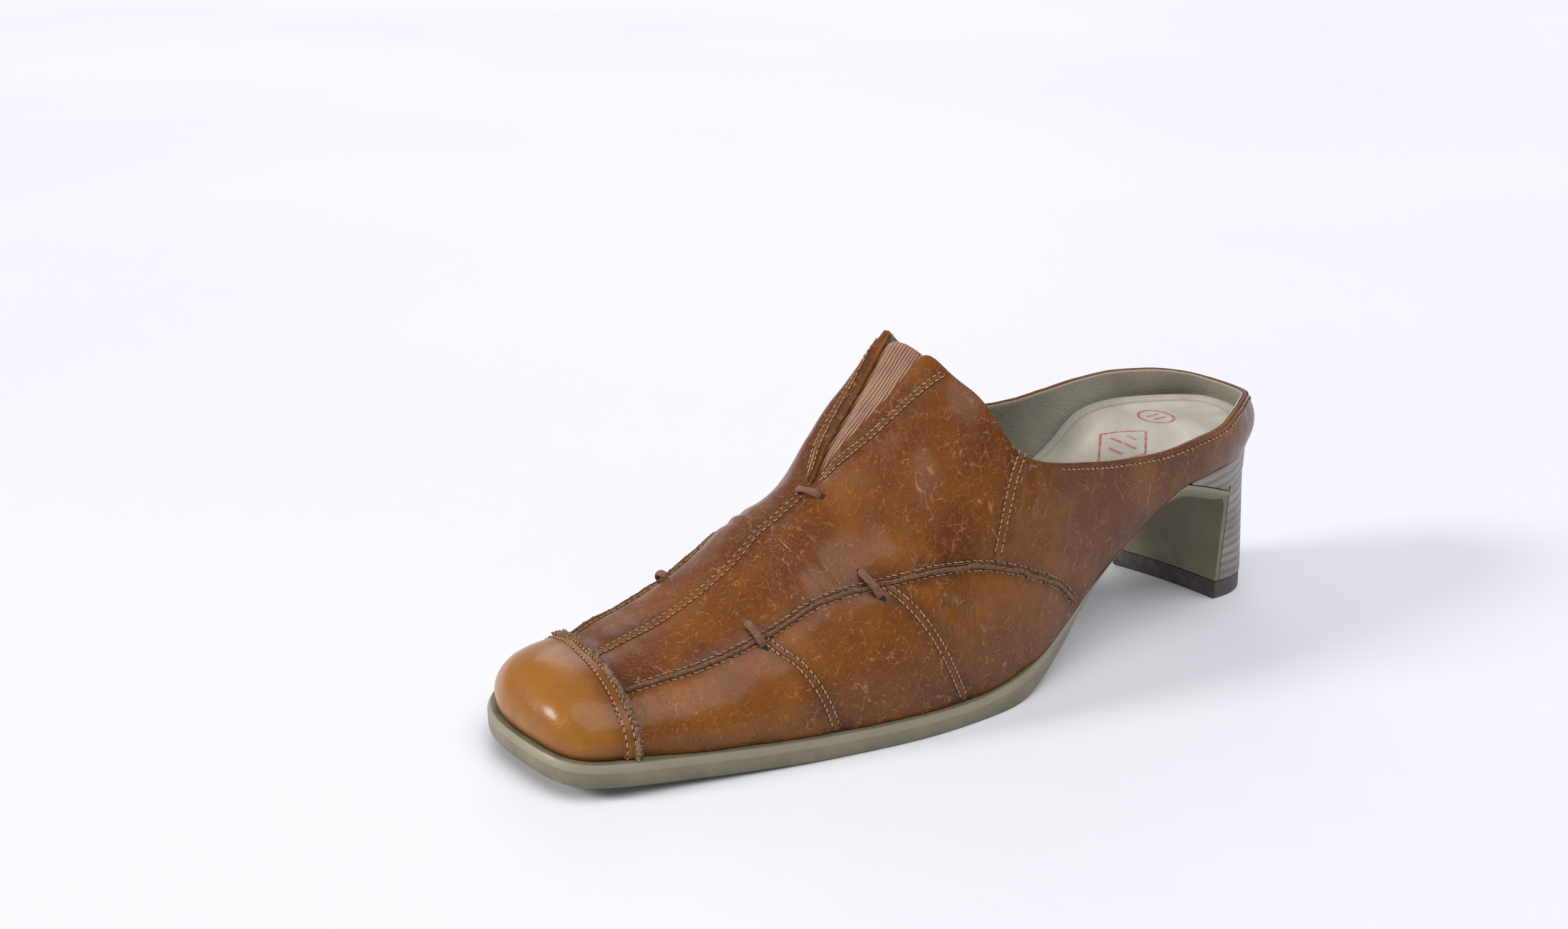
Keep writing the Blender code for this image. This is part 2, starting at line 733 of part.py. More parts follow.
def make_insole(collection, material):
    turns = spread([0.0, 0.10, 0.84, 1.0], [5, 26, 9])
    levels = (("low", 0.0), ("low", 0.6), ("low", 1.0), ("top", 1.0), ("top", 0.6), ("top", 0.0))
    bm = bmesh.new()
    for side in (1, -1):

        def place(i, j):
            kind, reach = levels[j]
            edge = feather_point(turns[i], side)
            inset = UPPER_WALL + 3 * GAP + cap_recess(edge[1])
            edge = edge - feather_outward(turns[i], side) * inset
            spine = spine_point(turns[i])
            plan = spine + (edge - spine) * reach
            up = seat_height(plan[1]) + 2 * GAP + (INSOLE_THICKNESS if kind == "top" else 0.0)
            return plan[0], plan[1], up

        grid_sheet(bm, len(turns), len(levels), place)
    return solid_from(bm, "insole", collection, material)


def angle_at_out(turn, side, out):
    """The angle of the upper's point that lies this far from the spine, at this turn."""
    low, high = 0.05, QUARTER_TURN
    for _ in range(40):
        middle = 0.5 * (low + high)
        if abs(upper_point(turn, side, middle)[0] - SPINE_SHIFT) > out:
            low = middle
        else:
            high = middle
    return 0.5 * (low + high)


def make_gore(collection, material):
    """The elastic wedge behind the throat, lapped under both edges."""
    count, across = 12, 7
    first = THROAT_TOP_ALONG + 2 * GAP
    last = THROAT_FOOT_ALONG + GORE_LAP
    stations = [first + (last - first) * k / count for k in range(count + 1)]
    bm = bmesh.new()

    def place(i, j):
        turn = turn_at(stations[i])
        share = 2 * j / (across - 1) - 1
        out = (throat_half(stations[i]) + GORE_LAP) * abs(share)
        side = 1 if share >= 0 else -1
        angle = angle_at_out(turn, side, out)
        return raised(turn, side, angle, -UPPER_WALL - 2 * GAP)

    grid_sheet(bm, count + 1, across, place)
    bmesh.ops.recalc_face_normals(bm, faces=bm.faces)
    if sum(face.normal.z for face in bm.faces) < 0:
        bmesh.ops.reverse_faces(bm, faces=bm.faces)
    obj = mesh_object(bm, "throat_gore", collection, material)
    thicken(obj, GORE_THICKNESS, -1)
    return obj


def strip_rings(points, normals, width, height):
    """Sections of a raised strip that lies on the upper, from its gap to its crest."""
    rings = []
    for i, (point, normal) in enumerate(zip(points, normals)):
        run = points[min(i + 1, len(points) - 1)] - points[max(i - 1, 0)]
        across = np.cross(run, normal)
        across /= np.linalg.norm(across)
        half = 0.5 * width
        section = ((-half, GAP), (half, GAP), (0.8 * half, GAP + height), (-0.8 * half, GAP + height))
        rings.append([tuple(point + across * a + normal * b) for a, b in section])
    return rings


def seam_point(side, along):
    return turn_at(along), SIDE_SEAM_SHARE[side](along) * QUARTER_TURN


def make_side_seam(side, name, collection, material):
    first = SIDE_SEAM[0][0] * LAST_LENGTH
    last = CAP_SEAM_ALONG - GAP
    count = 34
    points, normals = [], []
    for k in range(count + 1):
        turn, angle = seam_point(side, first + (last - first) * k / count)
        points.append(upper_point(turn, side, angle))
        normals.append(upper_normal(turn, side, angle))
    bm = bmesh.new()
    loft(bm, strip_rings(points, normals, SEAM_WIDTH, SEAM_HEIGHT))
    bmesh.ops.recalc_face_normals(bm, faces=bm.faces)
    return mesh_object(bm, name, collection, material)


def cap_seam_point(share):
    """A point on the line where toe cap and vamp meet, from the outer feather line to the inner one."""
    side = 1 if share < 0.5 else -1
    angle = QUARTER_TURN * (1 - abs(2 * share - 1))
    angle = max(angle, 0.05)
    goal = CAP_SEAM_ALONG + 0.5 * CAP_STRIP_WIDTH
    low, high = turn_at(0.8 * LAST_LENGTH), 0.93
    for _ in range(40):
        middle = 0.5 * (low + high)
        if upper_point(middle, side, angle)[1] < goal:
            low = middle
        else:
            high = middle
    return 0.5 * (low + high), side, angle


def make_cap_seam(collection, material):
    count = 28
    points, normals = [], []
    for k in range(count + 1):
        turn, side, angle = cap_seam_point(k / count)
        points.append(upper_point(turn, side, angle))
        normals.append(upper_normal(turn, side, min(angle, QUARTER_TURN - 0.02)))
    bm = bmesh.new()
    loft(bm, strip_rings(points, normals, CAP_STRIP_WIDTH - 2 * GAP, SEAM_HEIGHT))
    bmesh.ops.recalc_face_normals(bm, faces=bm.faces)
    return mesh_object(bm, "cap_seam", collection, material)


def make_tie(name, turn, side, angle, over, collection, material):
    """A thong that crosses a seam, arched over it."""
    here = upper_point(turn, side, angle)
    normal = Vector(upper_normal(turn, side, min(angle, QUARTER_TURN - 0.05)))
    ahead = upper_point(turn + 0.01, side, angle)
    run = (Vector(ahead) - Vector(here)).normalized()
    across = run.cross(normal).normalized()
    rings = []
    count = 8
    for k in range(count + 1):
        share = 2 * k / count - 1
        place = 0.5 * TIE_LENGTH * share
        arch = over * (1 - abs(share) ** 2.5) + 2 * GAP
        centre = Vector(here) + across * place + normal * arch
        drop = TIE_DROP * share * share
        centre -= normal * drop
        half = 0.5 * TIE_WIDTH * (1 - 0.25 * share * share)
        ring = [
            centre + run * a + normal * b
            for a, b in ((-half, 0), (half, 0), (half, TIE_THICKNESS), (-half, TIE_THICKNESS))
        ]
        rings.append([tuple(point) for point in ring])
    bm = bmesh.new()
    loft(bm, rings)
    bmesh.ops.recalc_face_normals(bm, faces=bm.faces)
    return mesh_object(bm, name, collection, material)


def main():
    shoe, cutters = start_scene()
    leather = finish_material("brown_leather", (0.30, 0.13, 0.055), 0.35)
    edge = finish_material("raw_edge_leather", (0.20, 0.12, 0.075), 0.7)
    elastic = finish_material("elastic", (0.42, 0.22, 0.15), 0.8)
    lining = finish_material("insole_leather", (0.36, 0.31, 0.24), 0.75)
    rubber = finish_material("olive_rubber", (0.26, 0.24, 0.16), 0.45)
    stack = finish_material("stacked_leather", (0.24, 0.20, 0.15), 0.6)
    tip = finish_material("tip_rubber", (0.04, 0.03, 0.03), 0.6)
    make_outsole(shoe, rubber)
    make_heel(shoe, cutters, stack)
    make_top_piece(shoe, tip)
    make_upper(shoe, leather)
    make_toe_cap(shoe, cutters, leather)
    make_insole(shoe, lining)
    make_gore(shoe, elastic)
    make_side_seam(1, "side_seam_outer", shoe, edge)
    make_side_seam(-1, "side_seam_inner", shoe, edge)
    make_cap_seam(shoe, edge)
    for side, word in ((1, "outer"), (-1, "inner")):
        for number, stations in enumerate(TIES, start=1):
            turn, angle = seam_point(side, stations[TIE_COLUMNS.index(word)] * LAST_LENGTH)
            make_tie(f"tie_{word}_{number}", turn, side, angle, SEAM_HEIGHT + GAP, shoe, edge)
    foot = turn_at(THROAT_FOOT_ALONG + TIE_WIDTH)
    make_tie("tie_throat", foot, 1, QUARTER_TURN - 0.001, GAP, shoe, edge)


main()
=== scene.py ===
# %% [markdown]
# # A worn left mule, dressed for a render
# The CAD frame gives the solids. Each cell below takes one part of the shoe, says what it is on
# the real thing, and builds it finer in the same metres, with the toe towards -Y.

# %% The frame
import math

import bmesh
import bpy
import numpy as np
from mathutils import Matrix, Vector

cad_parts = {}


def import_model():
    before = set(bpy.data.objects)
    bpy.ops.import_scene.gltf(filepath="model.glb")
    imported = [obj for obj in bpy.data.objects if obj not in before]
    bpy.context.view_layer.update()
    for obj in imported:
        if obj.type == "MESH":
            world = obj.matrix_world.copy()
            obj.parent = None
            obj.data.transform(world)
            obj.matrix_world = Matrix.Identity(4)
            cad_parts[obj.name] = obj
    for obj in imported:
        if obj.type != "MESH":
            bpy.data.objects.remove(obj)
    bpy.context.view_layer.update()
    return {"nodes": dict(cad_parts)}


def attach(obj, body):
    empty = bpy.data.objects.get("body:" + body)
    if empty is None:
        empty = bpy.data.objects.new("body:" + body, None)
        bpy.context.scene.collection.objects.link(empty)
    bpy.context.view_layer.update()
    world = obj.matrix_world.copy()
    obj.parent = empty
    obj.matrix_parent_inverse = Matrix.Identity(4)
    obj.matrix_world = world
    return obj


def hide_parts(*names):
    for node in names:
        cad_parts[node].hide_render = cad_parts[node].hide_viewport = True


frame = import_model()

print("nodes", sorted(frame["nodes"]))

# %% [markdown]
# ## The last
# A shoe is made round a last, so every soft piece follows the last's surface. The tables are the
# same as the part's own. A place on the upper is a loop (0 at the back of the heel, 1 at the toe,
# 2 at the heel again, outer side first) and an angle (0 at the feather line, a quarter turn at
# the crown). The readers take whole arrays at once, which keeps a fine mesh quick to make.

# %% Sizes and tables of the last
LAST_LENGTH = 0.2505
HEEL_WIDTH = 0.0560
WAIST_WIDTH = 0.0600
BALL_WIDTH = 0.0820
TOE_WIDTH = 0.0580
HEEL_HEIGHT = 0.0480
TOE_SPRING = 0.0050
INSTEP_HEIGHT = 0.1050
TOE_BOX_HEIGHT = 0.0169
SIDE_SWELL = 0.0024
SPINE_SHIFT = -0.0020
QUARTER_HEIGHT = 0.0155
TOPLINE_BACK = -0.0001
THROAT_OPENING = 0.0148
THROAT_TOP_ALONG = 0.50659 * LAST_LENGTH
THROAT_FOOT_ALONG = 0.64032 * LAST_LENGTH
CAP_SEAM_ALONG = 0.90619 * LAST_LENGTH
CAP_THICKNESS = 0.0012
CAP_RUN_IN = 0.0100
CAP_STRIP_WIDTH = 0.0034
GORE_LAP = 0.0035
INSOLE_THICKNESS = 0.0030
UPPER_WALL = 0.0020
SOLE_THICKNESS = 0.0064
SOLE_SHELF = 0.0026
WAIST_TUCK = 0.0050
WEDGE_LENGTH = 0.0445
WEDGE_DEPTH = 0.0080
WEDGE_TIP = 0.0006
WEDGE_LIP = 0.0020
HEEL_TREAD_WIDTH = 0.0375
HEEL_TREAD_BACK = 0.0028
HEEL_BREAST_ALONG = 0.0264
BREAST_LEAN = 0.0016
BREAST_SLANT = 0.0092
BACK_POWER = 0.72
BREAST_HOLLOW = 0.0012
BREAST_SKIN = 0.0016
BREAST_FILLET = 0.0085
TOP_PIECE_HEIGHT = 0.0060
GAP = 0.0003
QUARTER_TURN = 0.5 * math.pi

# turn, spine, outer_along, outer_out, inner_along, inner_out, width
OUTLINE = np.array(
    [
        (0.000, 0.095, 0.006, -0.02, 0.006, 0.02, HEEL_WIDTH),
        (0.030, 0.100, 0.014, 0.14, 0.012, 0.18, HEEL_WIDTH),
        (0.060, 0.108, 0.039, 0.25, 0.034, 0.28, HEEL_WIDTH),
        (0.100, 0.125, 0.080, 0.37, 0.076, 0.38, HEEL_WIDTH),
        (0.140, 0.146, 0.124, 0.45, 0.124, 0.45, HEEL_WIDTH),
        (0.190, 0.178, 0.178, 0.50, 0.178, 0.49, HEEL_WIDTH),
        (0.240, 0.236, 0.236, 0.52, 0.236, 0.48, HEEL_WIDTH),
        (0.340, 0.349, 0.349, 0.56, 0.349, 0.44, WAIST_WIDTH),
        (0.440, 0.465, 0.465, 0.495, 0.465, 0.375, BALL_WIDTH),
        (0.540, 0.581, 0.581, 0.516, 0.581, 0.450, BALL_WIDTH),
        (0.640, 0.697, 0.697, 0.475, 0.697, 0.484, BALL_WIDTH),
        (0.740, 0.812, 0.812, 0.410, 0.812, 0.445, BALL_WIDTH),
        (0.840, 0.894, 0.920, 0.482, 0.922, 0.505, TOE_WIDTH),
        (0.885, 0.918, 0.960, 0.430, 0.965, 0.428, TOE_WIDTH),
        (0.920, 0.930, 0.981, 0.345, 0.988, 0.338, TOE_WIDTH),
        (0.955, 0.938, 0.994, 0.190, 1.001, 0.205, TOE_WIDTH),
        (1.000, 0.942, 1.004, -0.05, 1.004, 0.05, TOE_WIDTH),
    ]
)
# along, seat, tread
LIFT = (
    (0.00, 1.000, 0.870), (0.09, 1.000, 0.877), (0.12, 1.000, 0.900), (0.18, 0.980, 0.985),
    (0.24, 0.820, 0.862), (0.28, 0.700, 0.722), (0.335, 0.490, 0.485), (0.39, 0.262, 0.205),
    (0.44, 0.107, 0.045), (0.48, 0.045, 0.000), (0.55, 0.000, 0.000), (1.00, 0.000, 0.000),
)
# along, instep, toe_box
CROWN = (
    (0.00, 0.640, 0.0), (0.24, 0.720, 0.0), (0.40, 0.960, 0.0), (0.45, 0.930, 0.0),
    (0.50, 0.862, 0.0), (0.56, 0.700, 0.0), (0.64, 0.500, 0.0), (0.68, 0.438, 0.0),
    (0.72, 0.368, 0.0), (0.79, 0.166, 0.55), (0.85, 0.050, 0.88), (0.90, 0.000, 1.02),
    (0.95, 0.000, 0.97),
)
# along, side_power, crown_power, swell
SECTION = (
    (0.00, 1.00, 1.00, 1.00), (0.24, 1.00, 1.00, 0.70), (0.50, 1.00, 1.12, 0.55),
    (0.64, 1.00, 1.00, 0.45), (0.76, 0.90, 0.90, 0.40), (1.00, 0.88, 0.88, 0.30),
)
# along, shelf, tuck
SOLE_EDGE = (
    (0.10, 0.00, 0.20), (0.19, 0.00, 1.00), (0.30, 0.00, 0.85), (0.40, 0.10, 0.35),
    (0.50, 0.70, 0.00), (0.62, 0.85, 0.00), (0.86, 0.88, 0.00), (0.94, 1.12, 0.00),
    (1.00, 1.00, 0.00),
)
# along, outer, inner
TOPLINE = (
    (0.00, 1.00, 1.00), (0.04, 1.06, 1.15), (0.08, 1.06, 1.22), (0.12, 0.93, 1.20),
    (0.17, 0.87, 1.12), (0.23, 0.78, 1.04), (0.31, 0.88, 1.00), (0.37, 1.04, 1.16),
    (0.397, 1.13, 1.43), (0.430, 1.28, 2.00), (0.450, 1.48, 2.32), (0.480, 2.39, 2.78),
    (0.5065, 3.06, 3.12), (0.520, 6.00, 6.00),
)
# along, outer, inner: shares of the quarter turn
SIDE_SEAM = (
    (0.377, 0.035, 0.030), (0.409, 0.125, 0.090), (0.457, 0.218, 0.170), (0.504, 0.288, 0.232),
    (0.545, 0.348, 0.290), (0.600, 0.418, 0.380), (0.641, 0.476, 0.445), (0.712, 0.542, 0.545),
    (0.762, 0.570, 0.588), (0.903, 0.615, 0.580),
)
MIDDLE_ALONG = 0.5 * (1.004 * LAST_LENGTH + SOLE_SHELF + TOPLINE_BACK)
MIDDLE_OUT = 0.5 * (0.516 - 0.484) * BALL_WIDTH


# %% Functions of the last, for whole arrays
def smooth_slopes(xs, ys):
    steps = np.diff(xs)
    rises = np.diff(ys) / steps
    slopes = np.zeros(len(xs))
    slopes[0], slopes[-1] = rises[0], rises[-1]
    for i in range(1, len(xs) - 1):
        if rises[i - 1] * rises[i] > 0:
            before = 2 * steps[i] + steps[i - 1]
            after = steps[i] + 2 * steps[i - 1]
            slopes[i] = (before + after) / (before / rises[i - 1] + after / rises[i])
    return slopes


def reader(xs, ys, slopes=None):
    xs, ys = np.asarray(xs, float), np.asarray(ys, float)
    slopes = smooth_slopes(xs, ys) if slopes is None else slopes

    def read(x):
        x = np.clip(np.asarray(x, float), xs[0], xs[-1])
        i = np.clip(np.searchsorted(xs, x) - 1, 0, len(xs) - 2)
        step = xs[i + 1] - xs[i]
        u = (x - xs[i]) / step
        return (
            ys[i] * (1 + 2 * u) * (1 - u) ** 2
            + slopes[i] * step * u * (1 - u) ** 2
            + ys[i + 1] * u * u * (3 - 2 * u)
            + slopes[i + 1] * step * u * u * (u - 1)
        )

    return read


def loop_reader(turns, outer, inner):
    xs = np.concatenate([turns, 2 - turns[-2::-1]])
    ys = np.concatenate([outer, inner[-2::-1]])
    ahead = np.concatenate([xs[1:], [xs[1] + 2]])
    behind = np.concatenate([[xs[-2] - 2], xs[:-1]])
    slopes = (np.concatenate([ys[1:], [ys[1]]]) - np.concatenate([[ys[-2]], ys[:-1]])) / (ahead - behind)
    return reader(xs, ys, slopes)


def table_reader(table, which):
    rows = np.array(table, float)
    return reader(rows[:, 0] * LAST_LENGTH, rows[:, which])


TURNS, WIDTHS = OUTLINE[:, 0], OUTLINE[:, 6]
FEATHER_ALONG = loop_reader(TURNS, OUTLINE[:, 2] * LAST_LENGTH, OUTLINE[:, 4] * LAST_LENGTH)
FEATHER_OUT = loop_reader(TURNS, OUTLINE[:, 3] * WIDTHS, -OUTLINE[:, 5] * WIDTHS)
SPINE_ALONG = reader(TURNS, OUTLINE[:, 1] * LAST_LENGTH)
SEAT_SHARE, TREAD_SHARE = table_reader(LIFT, 1), table_reader(LIFT, 2)
INSTEP_SHARE, TOE_BOX_SHARE = table_reader(CROWN, 1), table_reader(CROWN, 2)
SIDE_POWER, CROWN_POWER, SWELL_SHARE = (table_reader(SECTION, k) for k in (1, 2, 3))
SHELF_SHARE, TUCK_SHARE = table_reader(SOLE_EDGE, 1), table_reader(SOLE_EDGE, 2)
TOPLINE_SHARE = {1: table_reader(TOPLINE, 1), -1: table_reader(TOPLINE, 2)}
SIDE_SEAM_SHARE = {1: table_reader(SIDE_SEAM, 1), -1: table_reader(SIDE_SEAM, 2)}


def toe_lift(along):
    return TOE_SPRING * (np.maximum(0.0, along / LAST_LENGTH - 0.66) / 0.34) ** 1.8


def seat_height(along):
    return SOLE_THICKNESS + (HEEL_HEIGHT - SOLE_THICKNESS) * SEAT_SHARE(along) + toe_lift(along)


def tread_height(along):
    return (HEEL_HEIGHT - SOLE_THICKNESS) * TREAD_SHARE(along) + toe_lift(along)


def crown_rise(along):
    return INSTEP_HEIGHT * INSTEP_SHARE(along) + TOE_BOX_HEIGHT * TOE_BOX_SHARE(along)


def feather(loop):
    loop = np.asarray(loop, float) % 2
    return np.stack([FEATHER_OUT(loop), FEATHER_ALONG(loop)], axis=-1)


def unit(vectors):
    return vectors / np.maximum(np.linalg.norm(vectors, axis=-1, keepdims=True), 1e-12)


def outward(loop):
    """Unit vector in plan, square to the feather line and away from the foot."""
    run = unit(feather(np.asarray(loop) + 0.002) - feather(np.asarray(loop) - 0.002))
    return np.stack([run[..., 1], -run[..., 0]], axis=-1)


def turn_of(loop):
    loop = np.asarray(loop, float) % 2
    return np.where(loop <= 1, loop, 2 - loop)


def loop_of(turn, side):
    return turn if side > 0 else 2 - turn


def last_point(loop, angle, sink=0.0):
    """A point of the last in its own lengths: out, along, up."""
    edge, station = feather(loop), SPINE_ALONG(turn_of(loop))
    angle = np.minimum(angle, QUARTER_TURN)
    reach = np.where(angle < QUARTER_TURN, np.cos(angle), 0.0).clip(0) ** SIDE_POWER(station)
    rise = np.sin(angle) ** CROWN_POWER(station)
    full = np.minimum(1.0, angle / 0.30)
    swell = SIDE_SWELL * SWELL_SHARE(edge[..., 1]) * (1 - (1 - full) ** 2) - sink
    wide = edge + outward(loop) * np.asarray(swell)[..., None]
    out = SPINE_SHIFT + (wide[..., 0] - SPINE_SHIFT) * reach
    along = station + (wide[..., 1] - station) * reach
    base = seat_height(edge[..., 1]) * reach + seat_height(station) * (1 - reach)
    return np.stack([out, along, base + GAP + (crown_rise(station) - sink) * rise], axis=-1)


def cap_recess(along):
    share = np.clip((along - CAP_SEAM_ALONG + CAP_RUN_IN) / (CAP_RUN_IN + CAP_STRIP_WIDTH), 0, 1)
    return (CAP_THICKNESS + GAP) * share * share * (3 - 2 * share)


def upper_point(loop, angle):
    return last_point(loop, angle, cap_recess(last_point(loop, angle)[..., 1]))


def normal_of(point, loop, angle):
    """Outward normal of a surface that is a function of loop and angle."""
    step = 0.004
    held = np.clip(angle, step, QUARTER_TURN - step)
    first = point(loop + step, held) - point(loop - step, held)
    second = point(loop, held + step) - point(loop, held - step)
    normal = np.cross(first, second)
    normal[..., 0] = np.where(np.asarray(angle) > QUARTER_TURN - 1e-4, 0.0, normal[..., 0])
    return unit(normal)


def halve(low, high, past):
    """Bisection on whole arrays: past(x) is true beyond the wanted value."""
    low, high = np.broadcast_arrays(np.asarray(low, float), np.asarray(high, float))
    low, high = low.copy(), high.copy()
    for _ in range(40):
        middle = 0.5 * (low + high)
        beyond = past(middle)
        high = np.where(beyond, middle, high)
        low = np.where(beyond, low, middle)
    return 0.5 * (low + high)


def turn_at(along):
    return halve(np.zeros_like(np.asarray(along, float)), 1.0, lambda t: feather(t)[..., 1] >= along)


def topline_height(along, side):
    return HEEL_HEIGHT + QUARTER_HEIGHT * TOPLINE_SHARE[side](along)


def throat_half(along):
    share = (THROAT_FOOT_ALONG - along) / (THROAT_FOOT_ALONG - THROAT_TOP_ALONG)
    return 0.5 * THROAT_OPENING * np.clip(share, 0, 1)


def open_edge(turn, side):
    """The angle at which the upper stops."""
    loop = loop_of(turn, side)

    def outside(angle):
        out, along, up = np.moveaxis(upper_point(loop, angle), -1, 0)
        throat = (along > THROAT_TOP_ALONG) & (np.abs(out - SPINE_SHIFT) < throat_half(along))
        return (along <= THROAT_FOOT_ALONG) & (throat | (up > topline_height(along, side)))

    ends = outside(np.full_like(turn, QUARTER_TURN - 1e-6))
    found = halve(np.full_like(turn, 0.02), QUARTER_TURN, outside)
    return np.where(ends, found, QUARTER_TURN)


def rounded_edge(turns, side, radius=0.0013, reach=0.005):
    """The open edge, with the top corner of the throat rounded off."""
    along = feather(loop_of(turns, side))[:, 1]
    near = np.abs(along - THROAT_TOP_ALONG) < reach
    fine = np.linspace(THROAT_TOP_ALONG - 2 * reach, THROAT_TOP_ALONG + 2 * reach, 161)
    angles = open_edge(turn_at(fine), side)
    weights = np.exp(-(((along[:, None] - fine[None, :]) / radius) ** 2))
    smooth = (weights * angles).sum(1) / np.maximum(weights.sum(1), 1e-12)
    fade = np.clip((reach - np.abs(along - THROAT_TOP_ALONG)) / (0.5 * reach), 0, 1)
    edges = open_edge(turns, side)
    return np.where(near, edges + (np.minimum(smooth, edges) - edges) * fade, edges)


def world(points):
    """From the last's lengths to the frame's."""
    points = np.asarray(points, float)
    out, along, up = np.moveaxis(points, -1, 0)
    return np.stack([out - MIDDLE_OUT, MIDDLE_ALONG - along, up], axis=-1)


print("crown at the ball", world(upper_point(turn_at(0.64 * LAST_LENGTH), QUARTER_TURN)))

# %% [markdown]
# ## Lines on the upper
# Seams and creases are drawn as chains of places on the last. The same chains carry the stitches,
# the soft troughs beside them and the darker colour near the seams, partly burnish and partly
# painted shade, so these always agree with each other.


# %% Chains
def chain(knots, side, count=90):
    """Smooth chain through (along share, rise share) knots: loops and angles."""
    knots = np.array(knots, float)
    steps = np.linalg.norm(np.diff(knots * (1, 0.6), axis=0), axis=1)
    lengths = np.concatenate([[0], np.cumsum(steps)])
    share = np.linspace(0, lengths[-1], count)
    along, rise = (reader(lengths, knots[:, k])(share) for k in (0, 1))
    return loop_of(turn_at(along * LAST_LENGTH), side), rise * QUARTER_TURN


def crown_chain(knots, count=120):
    """Chain given by (along, out) in millimetres near the ridge."""
    knots = np.array(knots, float) / 1000
    along = np.linspace(knots[0, 0], knots[-1, 0], count)
    out = np.interp(along, knots[:, 0], knots[:, 1])
    side = np.where(out >= SPINE_SHIFT, 1, -1)
    turn = halve(np.zeros(count), 1.0, lambda t: SPINE_ALONG(t) >= along)
    loop = np.where(side > 0, turn, 2 - turn)
    angle = halve(
        np.full(count, 0.05),
        QUARTER_TURN,
        lambda a: np.abs(upper_point(loop, a)[..., 0] - SPINE_SHIFT) < np.abs(out - SPINE_SHIFT),
    )
    return loop, angle


def offset_chain(line, shift):
    """The same chain moved sideways on the surface by this length."""
    loop, angle = line
    points = upper_point(loop, angle)
    run = np.gradient(points, axis=0)
    across = unit(np.cross(run, normal_of(upper_point, loop, angle)))
    step = 1e-4
    by_loop = (upper_point(loop + step, angle) - points) / step
    above, below = np.minimum(angle + step, QUARTER_TURN), angle - step
    by_angle = (upper_point(loop, above) - upper_point(loop, below)) / (above - below)[:, None]
    matrix = np.stack([by_loop, by_angle], axis=-1)
    moves = np.einsum("nij,nj->ni", np.linalg.pinv(matrix), across * shift)
    return loop + moves[:, 0], np.clip(angle + moves[:, 1], 0.0, QUARTER_TURN)


def beside(line, shift, step, start=0.0, stop=1.0):
    """Marks at this step on a chain moved sideways. The centre seam lies on the ridge itself."""
    if line is CENTRE_SEAM:
        count = int((CENTRE_ALONG[1] - CENTRE_ALONG[0]) / 1000 / step)
        return crown_chain([(along, CENTRE_OUT + 1000 * shift) for along in CENTRE_ALONG], count)
    return offset_chain(picked(line, step, start, stop), shift)


def raised_line(side):
    alongs = np.linspace(SIDE_SEAM[0][0] * LAST_LENGTH, 0.98 * LAST_LENGTH, 300)
    loop, angle = loop_of(turn_at(alongs), side), SIDE_SEAM_SHARE[side](alongs) * QUARTER_TURN
    kept = upper_point(loop, angle)[:, 1] < CAP_SEAM_ALONG - 0.0002
    return loop[kept], angle[kept]


def cap_line(goal, count):
    """The line where toe cap and vamp meet, from the outer feather line to the inner one."""
    share = np.linspace(0, 1, count)
    side = np.where(share < 0.5, 1, -1)
    angle = np.maximum(QUARTER_TURN * (1 - np.abs(2 * share - 1)), 0.02)
    turn = halve(
        np.full(count, float(turn_at(0.8 * LAST_LENGTH))),
        0.99,
        lambda t: upper_point(np.where(side > 0, t, 2 - t), angle)[..., 1] >= goal,
    )
    return np.where(side > 0, turn, 2 - turn), angle


RAISED = {side: raised_line(side) for side in (1, -1)}
CROSS_SEAMS = [
    chain([(0.756, 0.540), (0.748, 0.450), (0.735, 0.348), (0.716, 0.153), (0.703, 0.005)], 1),
    chain([(0.626, 0.440), (0.598, 0.292), (0.574, 0.153), (0.548, 0.005)], 1),
    chain([(0.775, 0.560), (0.7495, 0.300), (0.735, 0.150), (0.722, 0.005)], -1),
    chain([(0.648, 0.420), (0.620, 0.292), (0.598, 0.153), (0.570, 0.005)], -1),
    chain([(0.4495, 0.445), (0.463, 0.420), (0.477, 0.378), (0.500, 0.292)], 1),
    chain([(0.398, 0.374), (0.430, 0.320), (0.460, 0.275), (0.488, 0.234)], -1),
]
CENTRE_ALONG, CENTRE_OUT = (163.0, 226.8), 1000 * SPINE_SHIFT
CENTRE_SEAM = crown_chain([(along, CENTRE_OUT) for along in CENTRE_ALONG])
THROAT_SEAMS = [
    chain([(0.5085, 0.780), (0.545, 0.845), (0.581, 0.890), (0.608, 0.930), (0.630, 0.958)], 1),
    chain([(0.5085, 0.790), (0.545, 0.850), (0.581, 0.896), (0.608, 0.935), (0.630, 0.962)], -1),
]
CREASES = [
    (1, 0.45, [(0.703, 0.937), (0.699, 0.776), (0.695, 0.646), (0.689, 0.541)]),
    (1, 0.35, [(0.697, 0.913), (0.690, 0.766), (0.683, 0.626), (0.676, 0.535)]),
    (1, 0.30, [(0.709, 0.949), (0.709, 0.768), (0.706, 0.624)]),
    (1, 0.45, [(0.589, 0.376), (0.567, 0.298), (0.552, 0.242), (0.535, 0.182)]),
    (1, 0.35, [(0.561, 0.285), (0.571, 0.249), (0.565, 0.170)]),
    (1, 0.60, [(0.444, 0.398), (0.447, 0.370), (0.453, 0.348)]),
    (-1, 0.45, [(0.705, 0.930), (0.700, 0.776), (0.697, 0.640), (0.690, 0.560)]),
    (-1, 0.35, [(0.690, 0.880), (0.684, 0.700), (0.680, 0.600)]),
    (-1, 0.35, [(0.600, 0.400), (0.575, 0.300), (0.560, 0.180)]),
]
CREASE_LINES = [(chain(knots, side, 60), depth) for side, depth, knots in CREASES]


